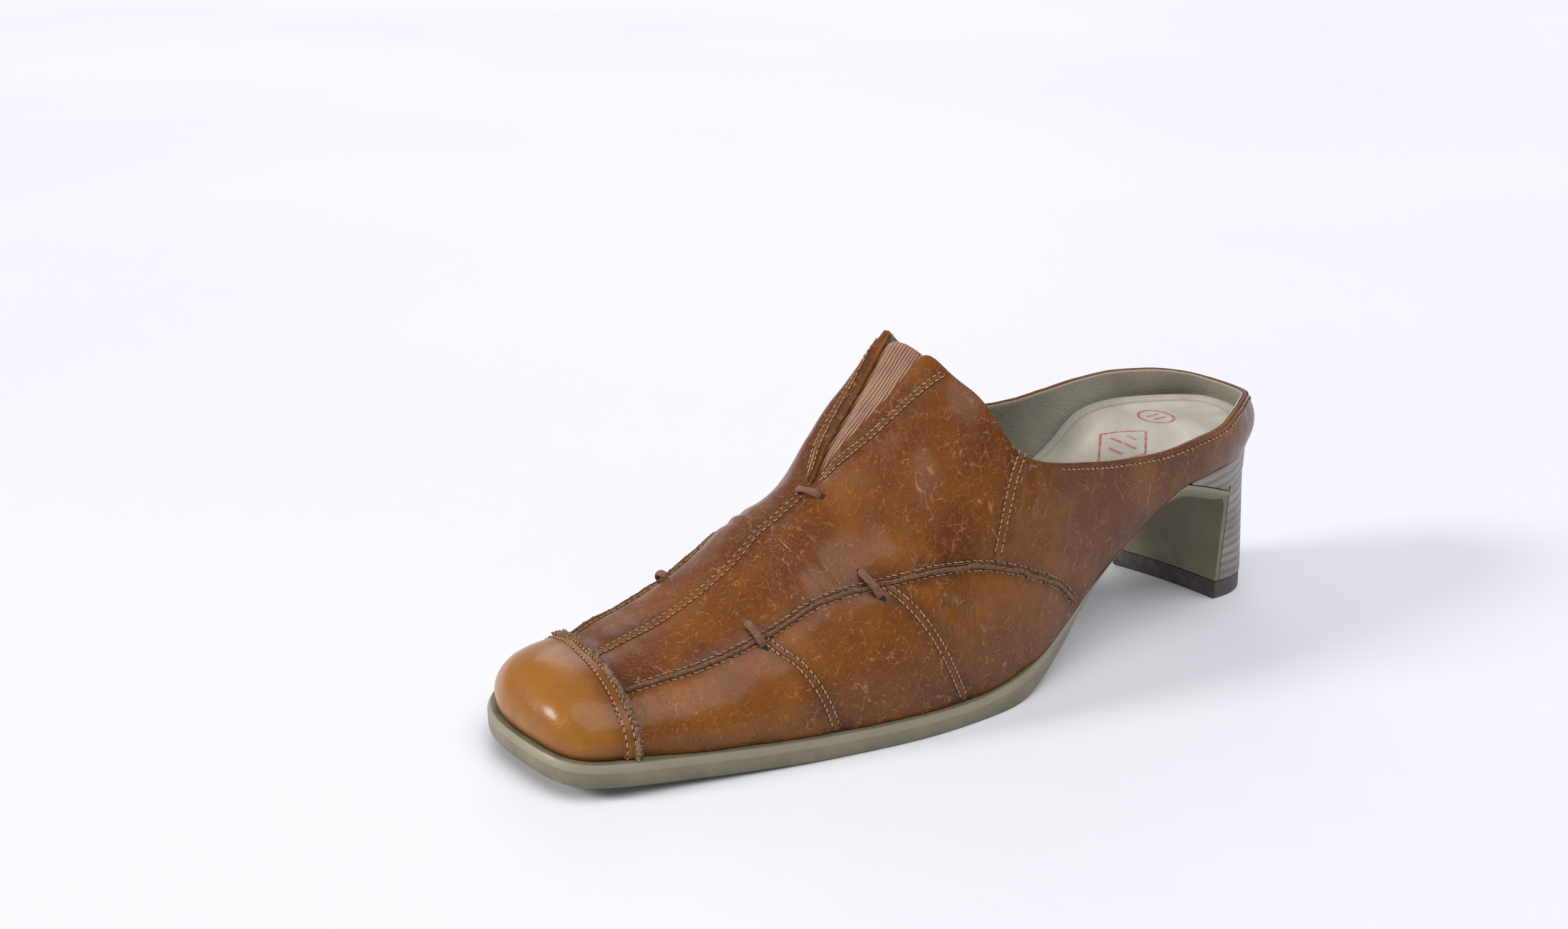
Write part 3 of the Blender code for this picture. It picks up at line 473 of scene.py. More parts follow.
def throat_line(side):
    turns = turn_at(np.linspace(THROAT_TOP_ALONG + 1e-5, THROAT_FOOT_ALONG - 1e-5, 90))
    return loop_of(turns, side), open_edge(turns, side)


THROAT_EDGES = [throat_line(side) for side in (1, -1)]
FULL_LINE = chain([(0.485, 0.770), (0.530, 0.790), (0.570, 0.820), (0.600, 0.860)], -1)

# chains with two rows of stitches, and how far each row lies from the middle
SEWN = [(line, 0.00090) for line in CROSS_SEAMS[:4]] + [(line, 0.00100) for line in CROSS_SEAMS[4:]]
SEWN += [(line, 0.00075) for line in THROAT_SEAMS] + [(CENTRE_SEAM, 0.00120)]


def nearest(points, line):
    """Distance from each point to a chain, in metres."""
    marks = upper_point(*line)
    flat = points.reshape(-1, 3)
    best = np.empty(len(flat))
    for first in range(0, len(flat), 8192):
        part = flat[first : first + 8192]
        gaps = part[:, None, :] - marks[None, :, :]
        best[first : first + 8192] = np.sqrt((gaps**2).sum(-1)).min(1)
    return best.reshape(points.shape[:-1])


def hump(distance, width):
    """A smooth bell, one at zero and about nothing at three widths."""
    return np.exp(-((distance / width) ** 2))


def waves(points, length, seed):
    """Smooth random relief between -1 and 1 with about this wavelength."""
    draw = np.random.default_rng(seed)
    total = np.zeros(points.shape[:-1])
    for _ in range(9):
        way = draw.normal(size=3)
        way *= 2 * math.pi / (length * np.linalg.norm(way)) * draw.uniform(0.7, 1.4)
        total += np.sin(points @ way + draw.uniform(0, 2 * math.pi))
    return total / 4.5


# depths, widths and places of the wear, in metres
CREASE_DEPTH, CREASE_WIDTH, FOLD_HEIGHT = 0.0020, 0.0015, 0.00050
SEAM_DENT, EDGE_DENT, DENT_LIMIT = 0.00028, 0.00030, 0.0009
FULLNESS, FULL_WIDTH, FULL_DIP = 0.0048, 0.0115, 0.0008
COUNTER_ALONG, COUNTER_UP, COUNTER_BULGE = 0.026, 0.055, 0.0012
RIM_UP, RIM_TURN = 0.0615, 0.0026


def relief(points):
    """Height of the worn leather over the smooth last, and its distance to the nearest seam."""
    seams = [nearest(points, line) for line in CROSS_SEAMS + THROAT_SEAMS + [CENTRE_SEAM]]
    edges = [nearest(points, RAISED[side]) for side in (1, -1)]
    seam = np.min(seams + edges, axis=0)
    height = 0.00022 * waves(points, 0.020, 3) + 0.00010 * waves(points, 0.009, 4)
    height *= 1 - hump(seam, 0.004)
    for line, depth in CREASE_LINES:
        gap = nearest(points, line)
        height += depth * CREASE_DEPTH * (0.60 * hump(gap, 3 * CREASE_WIDTH) - hump(gap, CREASE_WIDTH))
    fold = np.min([nearest(points, line) for line in THROAT_EDGES], axis=0)
    height += FOLD_HEIGHT * hump(fold - 0.0022, 0.0018)
    height -= SEAM_DENT * hump(np.min(seams, axis=0), 0.0038)
    height -= EDGE_DENT * hump(np.min(edges, axis=0), 0.0034)
    full = FULLNESS * hump(nearest(points, FULL_LINE), FULL_WIDTH)
    full -= FULL_DIP * hump(nearest(points, THROAT_EDGES[1]), 0.0040)
    rear, up = soft(COUNTER_ALONG - points[..., 1], 0.006), points[..., 2]
    bulge = COUNTER_BULGE * hump(up - COUNTER_UP, 0.005)
    full += rear * (bulge - RIM_TURN * soft(up - RIM_UP, 0.0018))
    return np.clip(height, -DENT_LIMIT, DENT_LIMIT) + full, seam


def skin(loop, angle, lift=0.0):
    """A point on the worn leather, lifted along its normal; also the normal."""
    points = upper_point(loop, angle)
    normal = normal_of(upper_point, loop, angle)
    height, _ = relief(points)
    return points + normal * (height + lift)[..., None], normal


print("seams", len(CROSS_SEAMS) + len(THROAT_SEAMS) + 3, "creases", len(CREASES))

# %% [markdown]
# ## Materials as arithmetic
# A small class wraps a shader socket, so that a material reads like a formula. Every other node
# comes from one method that takes the node's type, its settings and its sockets.


# %% Shader arithmetic
class Value:
    """A socket of a material's node tree that takes part in sums and products."""

    def __init__(self, paint, socket):
        self.paint, self.socket = paint, socket

    def math(self, operation, *others, clamp=False):
        sockets = dict(enumerate((self, *others)))
        return self.paint.node("Math", {"operation": operation, "use_clamp": clamp}, sockets)

    def __add__(self, other):
        return self.math("ADD", other)

    def __mul__(self, other):
        return self.math("MULTIPLY", other)

    def __sub__(self, other):
        return self.math("SUBTRACT", other)

    def __truediv__(self, other):
        return self.math("DIVIDE", other)

    def __pow__(self, other):
        return self.math("POWER", other)

    def __rsub__(self, other):
        return self.paint.node("Math", {"operation": "SUBTRACT"}, {0: other, 1: self})

    def __rtruediv__(self, other):
        return self.paint.node("Math", {"operation": "DIVIDE"}, {0: other, 1: self})

    __radd__ = __add__
    __rmul__ = __mul__

    def step(self, low, high):
        """0 below low, 1 above high, smooth between; low may be the larger."""
        sockets = {"Value": self, "From Min": low, "From Max": high}
        return self.paint.node("MapRange", {"interpolation_type": "SMOOTHSTEP"}, sockets)


class Paint:
    """One material, built up node by node."""

    def __init__(self, name):
        self.material = bpy.data.materials.new(name)
        self.material.use_nodes = True
        self.tree = self.material.node_tree
        self.shader = self.tree.nodes["Principled BSDF"]

    def plug(self, socket, value):
        """Links a value or sets a constant; a colour gets its fourth number."""
        if isinstance(value, Value):
            self.tree.links.new(value.socket, socket)
        elif socket.type == "RGBA":
            socket.default_value = (*value, 1)
        else:
            socket.default_value = value

    def node(self, kind, settings=None, sockets=None, out=0):
        made = self.tree.nodes.new("ShaderNode" + kind)
        for name, setting in (settings or {}).items():
            setattr(made, name, setting)
        for name, value in (sockets or {}).items():
            self.plug(made.inputs[name], value)
        return Value(self, made.outputs[out])

    def place(self):
        return self.node("TexCoord", out="Object")

    def attribute(self, name):
        return self.node("Attribute", {"attribute_name": name}, out="Fac")

    def axes(self, vector=None):
        split = self.node("SeparateXYZ", sockets={0: vector or self.place()})
        return [Value(self, split.socket.node.outputs[k]) for k in range(3)]

    def stretched(self, scale, turn=(0, 0, 0)):
        """Object coordinates turned, then scaled per axis."""
        sockets = {"Vector": self.place(), "Rotation": turn}
        turned = self.node("Mapping", {"vector_type": "POINT"}, sockets)
        return self.node("VectorMath", {"operation": "MULTIPLY"}, {0: turned, 1: scale})

    def noise(self, scale, detail=3.0, rough=0.5, vector=None, warp=0.0):
        sockets = {"Vector": vector or self.place(), "Scale": scale, "Detail": detail}
        return self.node("TexNoise", sockets={**sockets, "Roughness": rough, "Distortion": warp})

    def cracks(self, scale, vector, width):
        """1 on the thin lines between cells."""
        sockets = {"Vector": vector, "Scale": scale, "Randomness": 1.0}
        edge = self.node("TexVoronoi", {"feature": "DISTANCE_TO_EDGE"}, sockets, out="Distance")
        return edge.step(width, 0.0)

    def warped(self, vector, amount, scale):
        """A vector pushed about by a coloured noise."""
        sockets = {"Vector": vector, "Scale": scale, "Detail": 2.0}
        noise = self.node("TexNoise", sockets=sockets, out="Color")
        sockets = {0: noise, 1: (amount,) * 3, 2: (-0.5 * amount,) * 3}
        push = self.node("VectorMath", {"operation": "MULTIPLY_ADD"}, sockets)
        return self.node("VectorMath", {"operation": "ADD"}, {0: vector, 1: push})

    def blend(self, share, first, second):
        """Colour from first to second."""
        settings = {"data_type": "RGBA", "clamp_factor": True}
        return self.node("Mix", settings, {0: share, 6: first, 7: second}, out=2)

    def finish(self, colour, roughness, height=None, depth=0.0003, **constants):
        """Links colour and roughness, a bump in metres, and sets plain numbers on the shader."""
        self.plug(self.shader.inputs["Base Color"], colour)
        self.plug(self.shader.inputs["Roughness"], roughness)
        if height is not None:
            bump = self.node("Bump", sockets={"Height": height, "Distance": depth, "Strength": 1.0})
            self.tree.links.new(bump.socket, self.shader.inputs["Normal"])
        for name, value in constants.items():
            self.shader.inputs[name.replace("_", " ")].default_value = value
        return self.material


# %% [markdown]
# ## Finishes
# The leather is waxed and burnished: amber where the hide was rubbed, red brown towards seams and
# edges, partly burnish and partly painted shade, with a net of fine pale cracks that thickens where
# the foot bends it, and painted pinkish highlights along the creases. Raw edges are the same hide
# with no finish. The sole is an olive rubber with a dull bloom, darker towards the tread and where
# the shelf meets the upper.


# %% The leathers
def burnished(name, amber, brown, dark, crackle=1.0, coat=0.26):
    p = Paint(name)
    seam = p.attribute("seam")
    low = p.attribute("low")
    crease = p.attribute("crease")
    tone = p.attribute("tone")
    broad = p.noise(28.0, 3.0, 0.55, warp=0.6)
    patchy = p.noise(75.0, 4.0, 0.6, warp=0.4)
    share = broad.step(0.36, 0.66) * 0.55 + patchy.step(0.35, 0.7) * 0.30 + tone
    colour = p.blend(share, amber, brown)
    # Darker towards seams and the sole: partly burnish, partly painted shade in seam troughs and low down.
    burnish_and_shade = seam.step(0.0055, 0.0005) * 0.50 + low.step(0.16, 0.0) * 0.55
    burnish_and_shade = burnish_and_shade.math("MULTIPLY", 1.0, clamp=True)
    colour = p.blend(burnish_and_shade * patchy.step(0.15, 0.65), colour, dark)
    pores = p.noise(2600.0, 2.0, 0.6)
    colour = p.blend(pores.step(0.35, 0.75) * 0.18, colour, dark)
    fine = p.cracks(520.0, p.warped(p.stretched((1.0, 1.35, 0.8)), 0.0036, 240.0), 0.060)
    coarse = p.cracks(150.0, p.warped(p.stretched((1.0, 1.8, 0.55)), 0.012, 80.0), 0.020)
    zone = p.noise(42.0, 3.0, 0.6).step(0.40, 0.66) * 0.55 + crease * 0.35
    zone = zone.math("ADD", 0.42, clamp=True)
    lines = (fine * zone + coarse * (zone * 0.4 + 0.5)).math("MULTIPLY", crackle, clamp=True)
    lines = lines * p.noise(240.0, 3.0, 0.6).step(0.34, 0.50)
    colour = p.blend(lines * 0.80, colour, (0.430, 0.185, 0.060))
    # Pale streaks on the creases: partly cracked finish, partly a painted pinkish highlight on the ridges.
    streaks = p.cracks(210.0, p.warped(p.stretched((0.40, 2.6, 0.28)), 0.006, 90.0), 0.034)
    streaks = streaks * crease * p.noise(110.0, 2.0, 0.6).step(0.34, 0.60)
    colour = p.blend(streaks * crackle * 0.75, colour, (0.480, 0.235, 0.130))
    sheen = p.noise(150.0, 3.0, 0.6)
    rough = sheen * 0.18 + 0.22 + lines * 0.12 + burnish_and_shade * 0.05
    height = lines * -0.5 - streaks * 1.2 + pores * 0.20 + sheen * 1.2 + broad * 1.5
    return p.finish(
        colour, rough, height, 0.00040, Coat_Weight=coat, Coat_Roughness=0.18, Specular_IOR_Level=0.18
    )


def raw_edge(name, pale, brown):
    p = Paint(name)
    fibre = p.noise(1500.0, 4.0, 0.65)
    clump = p.noise(420.0, 3.0, 0.6, warp=0.5)
    colour = p.blend(fibre.step(0.3, 0.7), brown, pale)
    colour = p.blend(clump.step(0.55, 0.75) * 0.6, colour, (0.045, 0.022, 0.012))
    return p.finish(colour, 0.82, fibre * 0.6 + clump, 0.0005, Sheen_Weight=0.15)


VAMP_LEATHER = burnished(
    "vamp_leather", (0.285, 0.092, 0.0045), (0.130, 0.032, 0.0030), (0.050, 0.0125, 0.0035)
)
CAP_LEATHER = burnished(
    "cap_leather", (0.400, 0.165, 0.018), (0.240, 0.078, 0.010), (0.105, 0.028, 0.006), 0.12, 0.30
)
SEAM_BAND = burnished("seam_band", (0.250, 0.084, 0.007), (0.120, 0.033, 0.005), (0.050, 0.0140, 0.004), 0.6)
RAW_EDGE = raw_edge("raw_edge_leather", (0.225, 0.098, 0.032), (0.095, 0.036, 0.012))
CAP_RAW = raw_edge("cap_raw_leather", (0.360, 0.205, 0.110), (0.150, 0.068, 0.028))


def thread():
    p = Paint("thread")
    worn = p.noise(700.0, 3.0)
    twist = p.node(
        "TexWave",
        {"wave_type": "BANDS", "bands_direction": "DIAGONAL"},
        {"Vector": p.place(), "Scale": 420.0, "Distortion": 1.0},
    )
    colour = p.blend(worn.step(0.35, 0.65), (0.300, 0.160, 0.070), (0.480, 0.300, 0.160))
    return p.finish(colour, 0.7, twist, 0.0001)


def suede():
    p = Paint("suede_lining")
    nap = p.noise(1400.0, 3.0, 0.6)
    rubbed = p.noise(60.0, 4.0, 0.6, warp=0.8)
    colour = p.blend(rubbed.step(0.35, 0.7), (0.155, 0.140, 0.094), (0.255, 0.233, 0.170))
    colour = p.blend(nap.step(0.4, 0.7) * 0.3, colour, (0.120, 0.108, 0.075))
    # Painted light and shade: darker towards the toe, in shade, paler towards the heel, lit through the
    # opening.
    colour = p.blend(p.axes()[1].step(0.035, 0.090) * 0.7, colour, (0.480, 0.445, 0.360))
    return p.finish(colour, 0.95, nap + rubbed, 0.0003, Sheen_Weight=0.25)


THREAD = thread()
SUEDE = suede()
LEATHERS = (VAMP_LEATHER, CAP_LEATHER, SEAM_BAND, RAW_EDGE, CAP_RAW, THREAD, SUEDE)
print("leathers", [material.name for material in LEATHERS])


# %% The rubber, the stack and the elastic
def rubber():
    p = Paint("olive_rubber")
    bloom = p.noise(55.0, 4.0, 0.6, warp=0.7)
    dust = p.noise(900.0, 3.0, 0.6)
    colour = p.blend(bloom.step(0.35, 0.7), (0.185, 0.160, 0.098), (0.240, 0.208, 0.132))
    edge = p.attribute("bevel")
    colour = p.blend(edge.step(0.2, 0.9) * 0.55, colour, (0.330, 0.295, 0.200))
    # Darker towards the tread and on the shelf top next to the upper.
    darkening = p.attribute("darkening") * p.noise(120.0, 4.0, 0.65).step(0.25, 0.6)
    colour = p.blend(darkening * 0.75, colour, (0.095, 0.092, 0.060))
    colour = p.blend(dust.step(0.55, 0.8) * 0.15, colour, (0.50, 0.47, 0.36))
    return p.finish(colour, dust * 0.18 + 0.38 + darkening * 0.15, dust * 0.4 + bloom, 0.00015, Coat_Weight=0.08)


def stack():
    p = Paint("stacked_leather")
    wobble = p.noise(90.0, 2.0)
    level = (p.axes()[2] + wobble * 0.0007) * (1 / 0.0030)
    saw = level.math("FRACT")
    line = saw.step(0.38, 0.10) + saw.step(0.80, 0.98)
    grain = p.noise(700.0, 4.0, 0.6, vector=p.stretched((1, 1, 6)))
    lift = p.noise(1.0, 0.0, vector=p.node("CombineXYZ", sockets={"Z": level.math("FLOOR") * 7.3}))
    colour = p.blend(lift.step(0.3, 0.7), (0.170, 0.140, 0.118), (0.290, 0.252, 0.218))
    colour = p.blend(grain.step(0.35, 0.7) * 0.4, colour, (0.340, 0.305, 0.275))
    colour = p.blend(line * 0.6, colour, (0.100, 0.078, 0.062))
    return p.finish(colour, grain * 0.2 + 0.36, grain * 0.5 - line, 0.0002, Coat_Weight=0.1)


def tip():
    p = Paint("tip_rubber")
    grime = p.noise(260.0, 4.0, 0.65)
    colour = p.blend(grime.step(0.4, 0.7), (0.060, 0.048, 0.052), (0.110, 0.090, 0.090))
    return p.finish(colour, grime * 0.3 + 0.4, grime, 0.0003)


def elastic():
    p = Paint("elastic")
    weave = p.noise(2400.0, 2.0)
    worn = p.noise(120.0, 3.0)
    colour = p.blend(worn.step(0.3, 0.7), (0.340, 0.170, 0.105), (0.480, 0.275, 0.185))
    # Painted shade: the grooves between the ribs are painted nearly black.
    rib = p.attribute("rib")
    colour = p.blend(rib.step(0.85, 0.25) * 0.9, colour, (0.070, 0.028, 0.018))
    return p.finish(colour, 0.85, weave, 0.0002)


RUBBER, STACK, TIP, ELASTIC = rubber(), stack(), tip(), elastic()
print("others", [m.name for m in (RUBBER, STACK, TIP, ELASTIC)])


# %% [markdown]
# ## Mesh helpers
# Every piece starts as a flat bmesh grid whose points are then moved to their places. Named
# numbers are stored on the points for the materials to read.


# %% Helpers
def grid(bm, points, layers=None):
    """A grid whose point (i, j) goes to points[i, j]; layers hold numbers spread over it."""
    columns, rows = points.shape[:2]
    made = bmesh.ops.create_grid(bm, x_segments=columns - 1, y_segments=rows - 1, size=1.0)["verts"]
    places = world(points)
    slots = [
        (bm.verts.layers.float.get(name), np.broadcast_to(values, (columns, rows)))
        for name, values in (layers or {}).items()
    ]
    table = np.empty((columns, rows), object)
    for vertex in made:
        i = round((vertex.co.x + 1) / 2 * (columns - 1))
        j = round((vertex.co.y + 1) / 2 * (rows - 1))
        table[i, j] = vertex
        vertex.co = places[i, j]
        for slot, values in slots:
            vertex[slot] = float(values[i, j])
    return table


def seal(bm):
    """Joins grids at the edges they share and closes what is still open."""
    bmesh.ops.remove_doubles(bm, verts=bm.verts, dist=2e-6)
    rim = [edge for edge in bm.edges if edge.is_boundary]
    if rim:
        bmesh.ops.holes_fill(bm, edges=rim, sides=0)


def new_mesh(*layers):
    bm = bmesh.new()
    for name in layers:
        bm.verts.layers.float.new(name)
    return bm


def add_piece(bm, name, material, replaces=(), sharp=40, weld=2e-6, wall=None):
    """Closes the mesh work and makes the object, riding on the shoe."""
    if weld:
        bmesh.ops.remove_doubles(bm, verts=bm.verts, dist=weld)
    loose = [vertex for vertex in bm.verts if not vertex.link_faces]
    bmesh.ops.delete(bm, geom=loose, context="VERTS")
    if not wall:
        bmesh.ops.recalc_face_normals(bm, faces=bm.faces)
    mesh = bpy.data.meshes.new(name)
    bm.to_mesh(mesh)
    bm.free()
    mesh.materials.append(material)
    mesh.shade_smooth()
    mesh.set_sharp_from_angle(angle=math.radians(sharp))
    obj = bpy.data.objects.new(name, mesh)
    bpy.context.scene.collection.objects.link(obj)
    if wall:
        solid = obj.modifiers.new("wall", "SOLIDIFY")
        solid.thickness, solid.offset = wall, -1
        solid.use_quality_normals = True
    if replaces:
        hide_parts(*replaces)
    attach(obj, "root")
    print(name, len(mesh.vertices), "points", len(mesh.polygons), "faces")


def outward_faces(bm):
    """Turns an open sheet that is curved round the last so that it faces outwards."""
    bmesh.ops.recalc_face_normals(bm, faces=bm.faces)
    middle = sum((face.calc_center_median() for face in bm.faces), Vector()) / len(bm.faces)
    facing = sum((f.calc_center_median() - middle).dot(f.normal) * f.calc_area() for f in bm.faces)
    if facing < 0:
        bmesh.ops.reverse_faces(bm, faces=bm.faces)


def spread(breaks, counts):
    """Marks between these breaks, with this many steps in each stretch."""
    turns = [float(breaks[0])]
    for low, high, count in zip(breaks, breaks[1:], counts):
        turns += [float(low + (high - low) * (k + 1) / count) for k in range(count)]
    return np.array(turns)


def picked(line, step, start=0.0, stop=1.0):
    """Every so many metres along a dense chain, its nearest marks."""
    points = upper_point(*line)
    arc = np.concatenate([[0], np.cumsum(np.linalg.norm(np.diff(points, axis=0), axis=1))])
    wanted = np.arange(start * arc[-1], stop * arc[-1], step)
    index = np.clip(np.searchsorted(arc, wanted), 0, len(arc) - 1)
    return line[0][index], line[1][index]


def soft(value, width):
    """A smooth step from 0 to 1 around zero."""
    return 1 / (1 + np.exp(-value / width))


# %% [markdown]
# ## The upper
# Quarters and vamp are lasted together into one shell. The outer skin runs up to the open edge,
# turns over in a small roll and comes down again on the inside, so the leather has its real wall.
# Below the raised seams the panels were waxed lighter, and the quarters are the reddest.

# %% Upper shell
CORNER, FOOT = float(turn_at(THROAT_TOP_ALONG)), float(turn_at(THROAT_FOOT_ALONG))
COLUMNS = spread(
    [0.0, 0.10, float(turn_at(0.37 * LAST_LENGTH)), CORNER, FOOT, 0.84, 1.0], [22, 50, 70, 56, 66, 30]
)
WALL = 0.0016
ROLL_STEPS = 5
ROWS = 64


def panel_tone(along, rise, side):
    """How much browner than amber each panel is."""
    seam = SIDE_SEAM_SHARE[side](along * LAST_LENGTH)
    above = soft(rise - seam, 0.012)
    front = soft(along - 0.66, 0.03)
    back = soft(0.485 - along, 0.02)
    medial = 0.22 if side < 0 else 0.0
    middle = soft(along - 0.56, 0.01) * soft(0.725 - along, 0.01) * (1 - above)
    browner = 0.30 * above * (1 - front) * (1 - back)
    vamp = front * (0.26 * above - 0.22 * (1 - above))
    return 0.06 + browner + 0.34 * back + vamp + medial * above + 0.12 * middle


def make_upper():
    closed = COLUMNS > FOOT - 1e-9
    bm = new_mesh("seam", "low", "crease", "tone")
    for side in (1, -1):
        edges, loop = rounded_edge(COLUMNS, side), loop_of(COLUMNS, side)
        angle = edges[:, None] * (np.linspace(0, 1, ROWS) ** 0.9)[None, :]
        loops = np.repeat(loop[:, None], ROWS, axis=1)
        base = upper_point(loops, angle)
        normal = normal_of(upper_point, loops, angle)
        height, seam = relief(base)
        outer = base + normal * height[..., None]
        rim_normal = normal[:, -1]
        up = unit(np.cross(unit(np.gradient(base[:, -1], axis=0)), rim_normal))
        up *= np.sign(((base[:, -1] - base[:, -3]) * up).sum(-1, keepdims=True))
        turned = np.where(closed, 0.0, 0.5 * WALL)[:, None]
        outer[:, -1] -= up * turned
        centre = outer[:, -1] - rim_normal * 0.5 * WALL
        bends = np.linspace(0, math.pi, ROLL_STEPS + 2)[1:-1]
        half = rim_normal * 0.5 * WALL
        roll = [centre + half * math.cos(a) + up * turned * math.sin(a) for a in bends]
        inner = outer[:, ::-1] - normal[:, ::-1] * WALL
        points = np.concatenate([outer, np.stack(roll, axis=1), inner, outer[:, :1]], axis=1)
        creases = sum(hump(nearest(base, line), 0.005) * depth * 2 for line, depth in CREASE_LINES)
        share = angle / QUARTER_TURN

        def laid(values, on_roll):
            rolled = np.full((len(COLUMNS), ROLL_STEPS), on_roll)
            return np.concatenate([values, rolled, values[:, ::-1], values[:, :1]], axis=1)

        layers = {
            "seam": laid(seam, 0.01),
            "low": laid(share, 0.5),
            "crease": laid(np.clip(creases, 0, 1), 0.0),
            "tone": laid(panel_tone(base[..., 1] / LAST_LENGTH, share, side), 0.3),
        }
        table = grid(bm, points, layers)
        inner_walls = [
            bm.faces.get((table[i, j], table[i + 1, j], table[i + 1, j + 1], table[i, j + 1]))
            for i in range(len(COLUMNS) - 1)
            if closed[i]
            for j in range(ROWS - 1, ROWS + ROLL_STEPS)
        ]
        bmesh.ops.delete(bm, geom=inner_walls, context="FACES_ONLY")
    add_piece(bm, "upper_shell", VAMP_LEATHER, ["upper"], sharp=70, weld=1e-5)


make_upper()


# %% [markdown]
# ## The lining
# A split suede is cemented inside. It stops just under the topline, where its cut edge shows.


# %% Lining
def make_lining():
    turns = COLUMNS[::2]
    rows = 26
    bm = new_mesh()
    for side in (1, -1):
        edges, loop = rounded_edge(turns, side), loop_of(turns, side)
        throat = (turns > CORNER) & (turns < FOOT)
        edges = np.where(edges < QUARTER_TURN - 1e-6, edges - np.where(throat, 0.11, 0.004), edges)
        angle = edges[:, None] * (np.linspace(0.02, 1, rows) ** 0.9)[None, :]
        points, _ = skin(np.repeat(loop[:, None], rows, axis=1), angle, -WALL - 0.00012)
        grid(bm, points)
    bmesh.ops.remove_doubles(bm, verts=bm.verts, dist=2e-5)
    outward_faces(bm)
    add_piece(bm, "suede_lining", SUEDE, wall=0.0005, sharp=70)


make_lining()


# %% [markdown]
# ## The toe cap
# The cap is a second, thicker piece of hide, wet-moulded over the toe. It has no folds, so it keeps
# the amber colour and the sharpest highlight of the shoe.


# %% Toe cap
CAP_SHIFT = 0.0016


def make_cap():
    rows, columns = 44, 40
    first = CAP_SEAM_ALONG + CAP_STRIP_WIDTH - 0.0004 + CAP_SHIFT
    bm = new_mesh("seam", "low", "crease", "tone")
    angle = QUARTER_TURN * np.linspace(0, 1, rows) ** 0.9
    for side in (1, -1):
        start = halve(
            np.full(rows, 0.7), 0.999, lambda t: last_point(loop_of(t, side), angle)[..., 1] >= first
        )
        turns = start[None, :] + (1 - start[None, :]) * np.linspace(0, 1, columns)[:, None]
        angles = np.repeat(angle[None, :], columns, axis=0)
        loops = loop_of(turns, side)
        points = last_point(loops, angles)
        normal = normal_of(last_point, loops, angles)
        bumps = 0.00010 * waves(points, 0.016, 8)
        run = points[..., 1] - first
        layers = {
            "seam": np.clip(run, 0, 0.02) + 0.0015,
            "low": angles / QUARTER_TURN + 0.03,
            "crease": 0.0,
            "tone": -0.12 + 0.5 * hump(run, 0.004),
        }
        grid(bm, points + normal * bumps[..., None], layers)
    bmesh.ops.remove_doubles(bm, verts=bm.verts, dist=1e-5)
    outward_faces(bm)
    add_piece(bm, "toe_cap_shell", CAP_LEATHER, ["toe_cap"], wall=0.0011, sharp=70)


make_cap()


# %% [markdown]
# ## Seams
# Two panels are lapped and sewn with two rows of thick thread: the lap stands up a little between
# the rows and each stitch pulls a small dent. On the raised seams both raw edges are turned up and
# left to fray, with a dark gap between them.


# %% Seam bands and raised edges
def band(bm, line, half, height, step=0.0005):
    """A lapped strip, flush with the skin at both sides and raised between its rows."""
    shares = np.linspace(-1, 1, 11)
    columns = []
    for share in shares:
        loop, angle = beside(line, share * half, step)
        pull = np.abs(np.sin(np.arange(len(loop)) * step / 0.0015 * math.pi))
        pucker = 1 - 0.35 * pull * hump(abs(share) - 0.7, 0.3)
        lift = height * (1 - abs(share) ** 3.0) * pucker - 0.00022 * abs(share) ** 3
        columns.append(skin(loop, angle, lift)[0])
    top = np.stack(columns, axis=1)
    points = np.concatenate([top, top[:, ::-1], top[:, :1]], axis=1)
    _, normal = skin(*beside(line, 0.0, step))
    points[:, len(shares) : -1] -= normal[:, None] * 0.0005
    grid(bm, points, {"seam": 0.003, "low": 0.5, "crease": 0.25, "tone": 0.1})


def frayed(bm, line, shift, width, height, seed, step=0.00045, fray=0.28):
    """A raw edge of leather that stands on the skin along a chain."""
    loop, angle = offset_chain(picked(line, step), shift)
    foot, normal = skin(loop, angle, 0.0)
    across = unit(np.cross(np.gradient(foot, axis=0), normal))
    draw = np.random.default_rng(seed)
    profile = ((-0.5, -0.3), (-0.52, 0.45), (-0.36, 0.88), (0.0, 1.0), (0.36, 0.90))
    profile += ((0.52, 0.45), (0.5, -0.3))
    count = len(foot)
    wander = np.convolve(draw.normal(size=count + 8), np.ones(9) / 3, "valid")[:count]
    columns = []
    for out, up in (*profile, profile[0]):
        rough = draw.normal(size=(count, 2)) * fray * (0.5 if up > 0 else 0.0)
        reach = (out + 0.12 * wander + rough[:, 0] * 0.5) * width
        tall = up * height * (1 + 0.10 * wander) + rough[:, 1] * height * 0.35
        columns.append((reach, tall))
    columns[-1] = columns[0]
    points = [foot + across * a[:, None] + normal * b[:, None] for a, b in columns]
    grid(bm, np.stack(points, axis=1))


def make_bands():
    bm = new_mesh("seam", "low", "crease", "tone")
    for line, reach in SEWN:
        band(bm, line, 1.35 * reach, 0.00030)
    seal(bm)
    add_piece(bm, "seam_bands", SEAM_BAND, sharp=60)


make_bands()

for side, node in ((1, "side_seam_outer"), (-1, "side_seam_inner")):
    bm = new_mesh()
    frayed(bm, RAISED[side], 0.00058 * side, 0.0012, 0.0010, 11 + side)
    frayed(bm, RAISED[side], -0.00040 * side, 0.0003, 0.0004, 21 + side)
    seal(bm)
    add_piece(bm, node + "_edges", RAW_EDGE, [node], sharp=55)

CAP_LINE = cap_line(CAP_SEAM_ALONG + 0.5 * CAP_STRIP_WIDTH + CAP_SHIFT, 900)


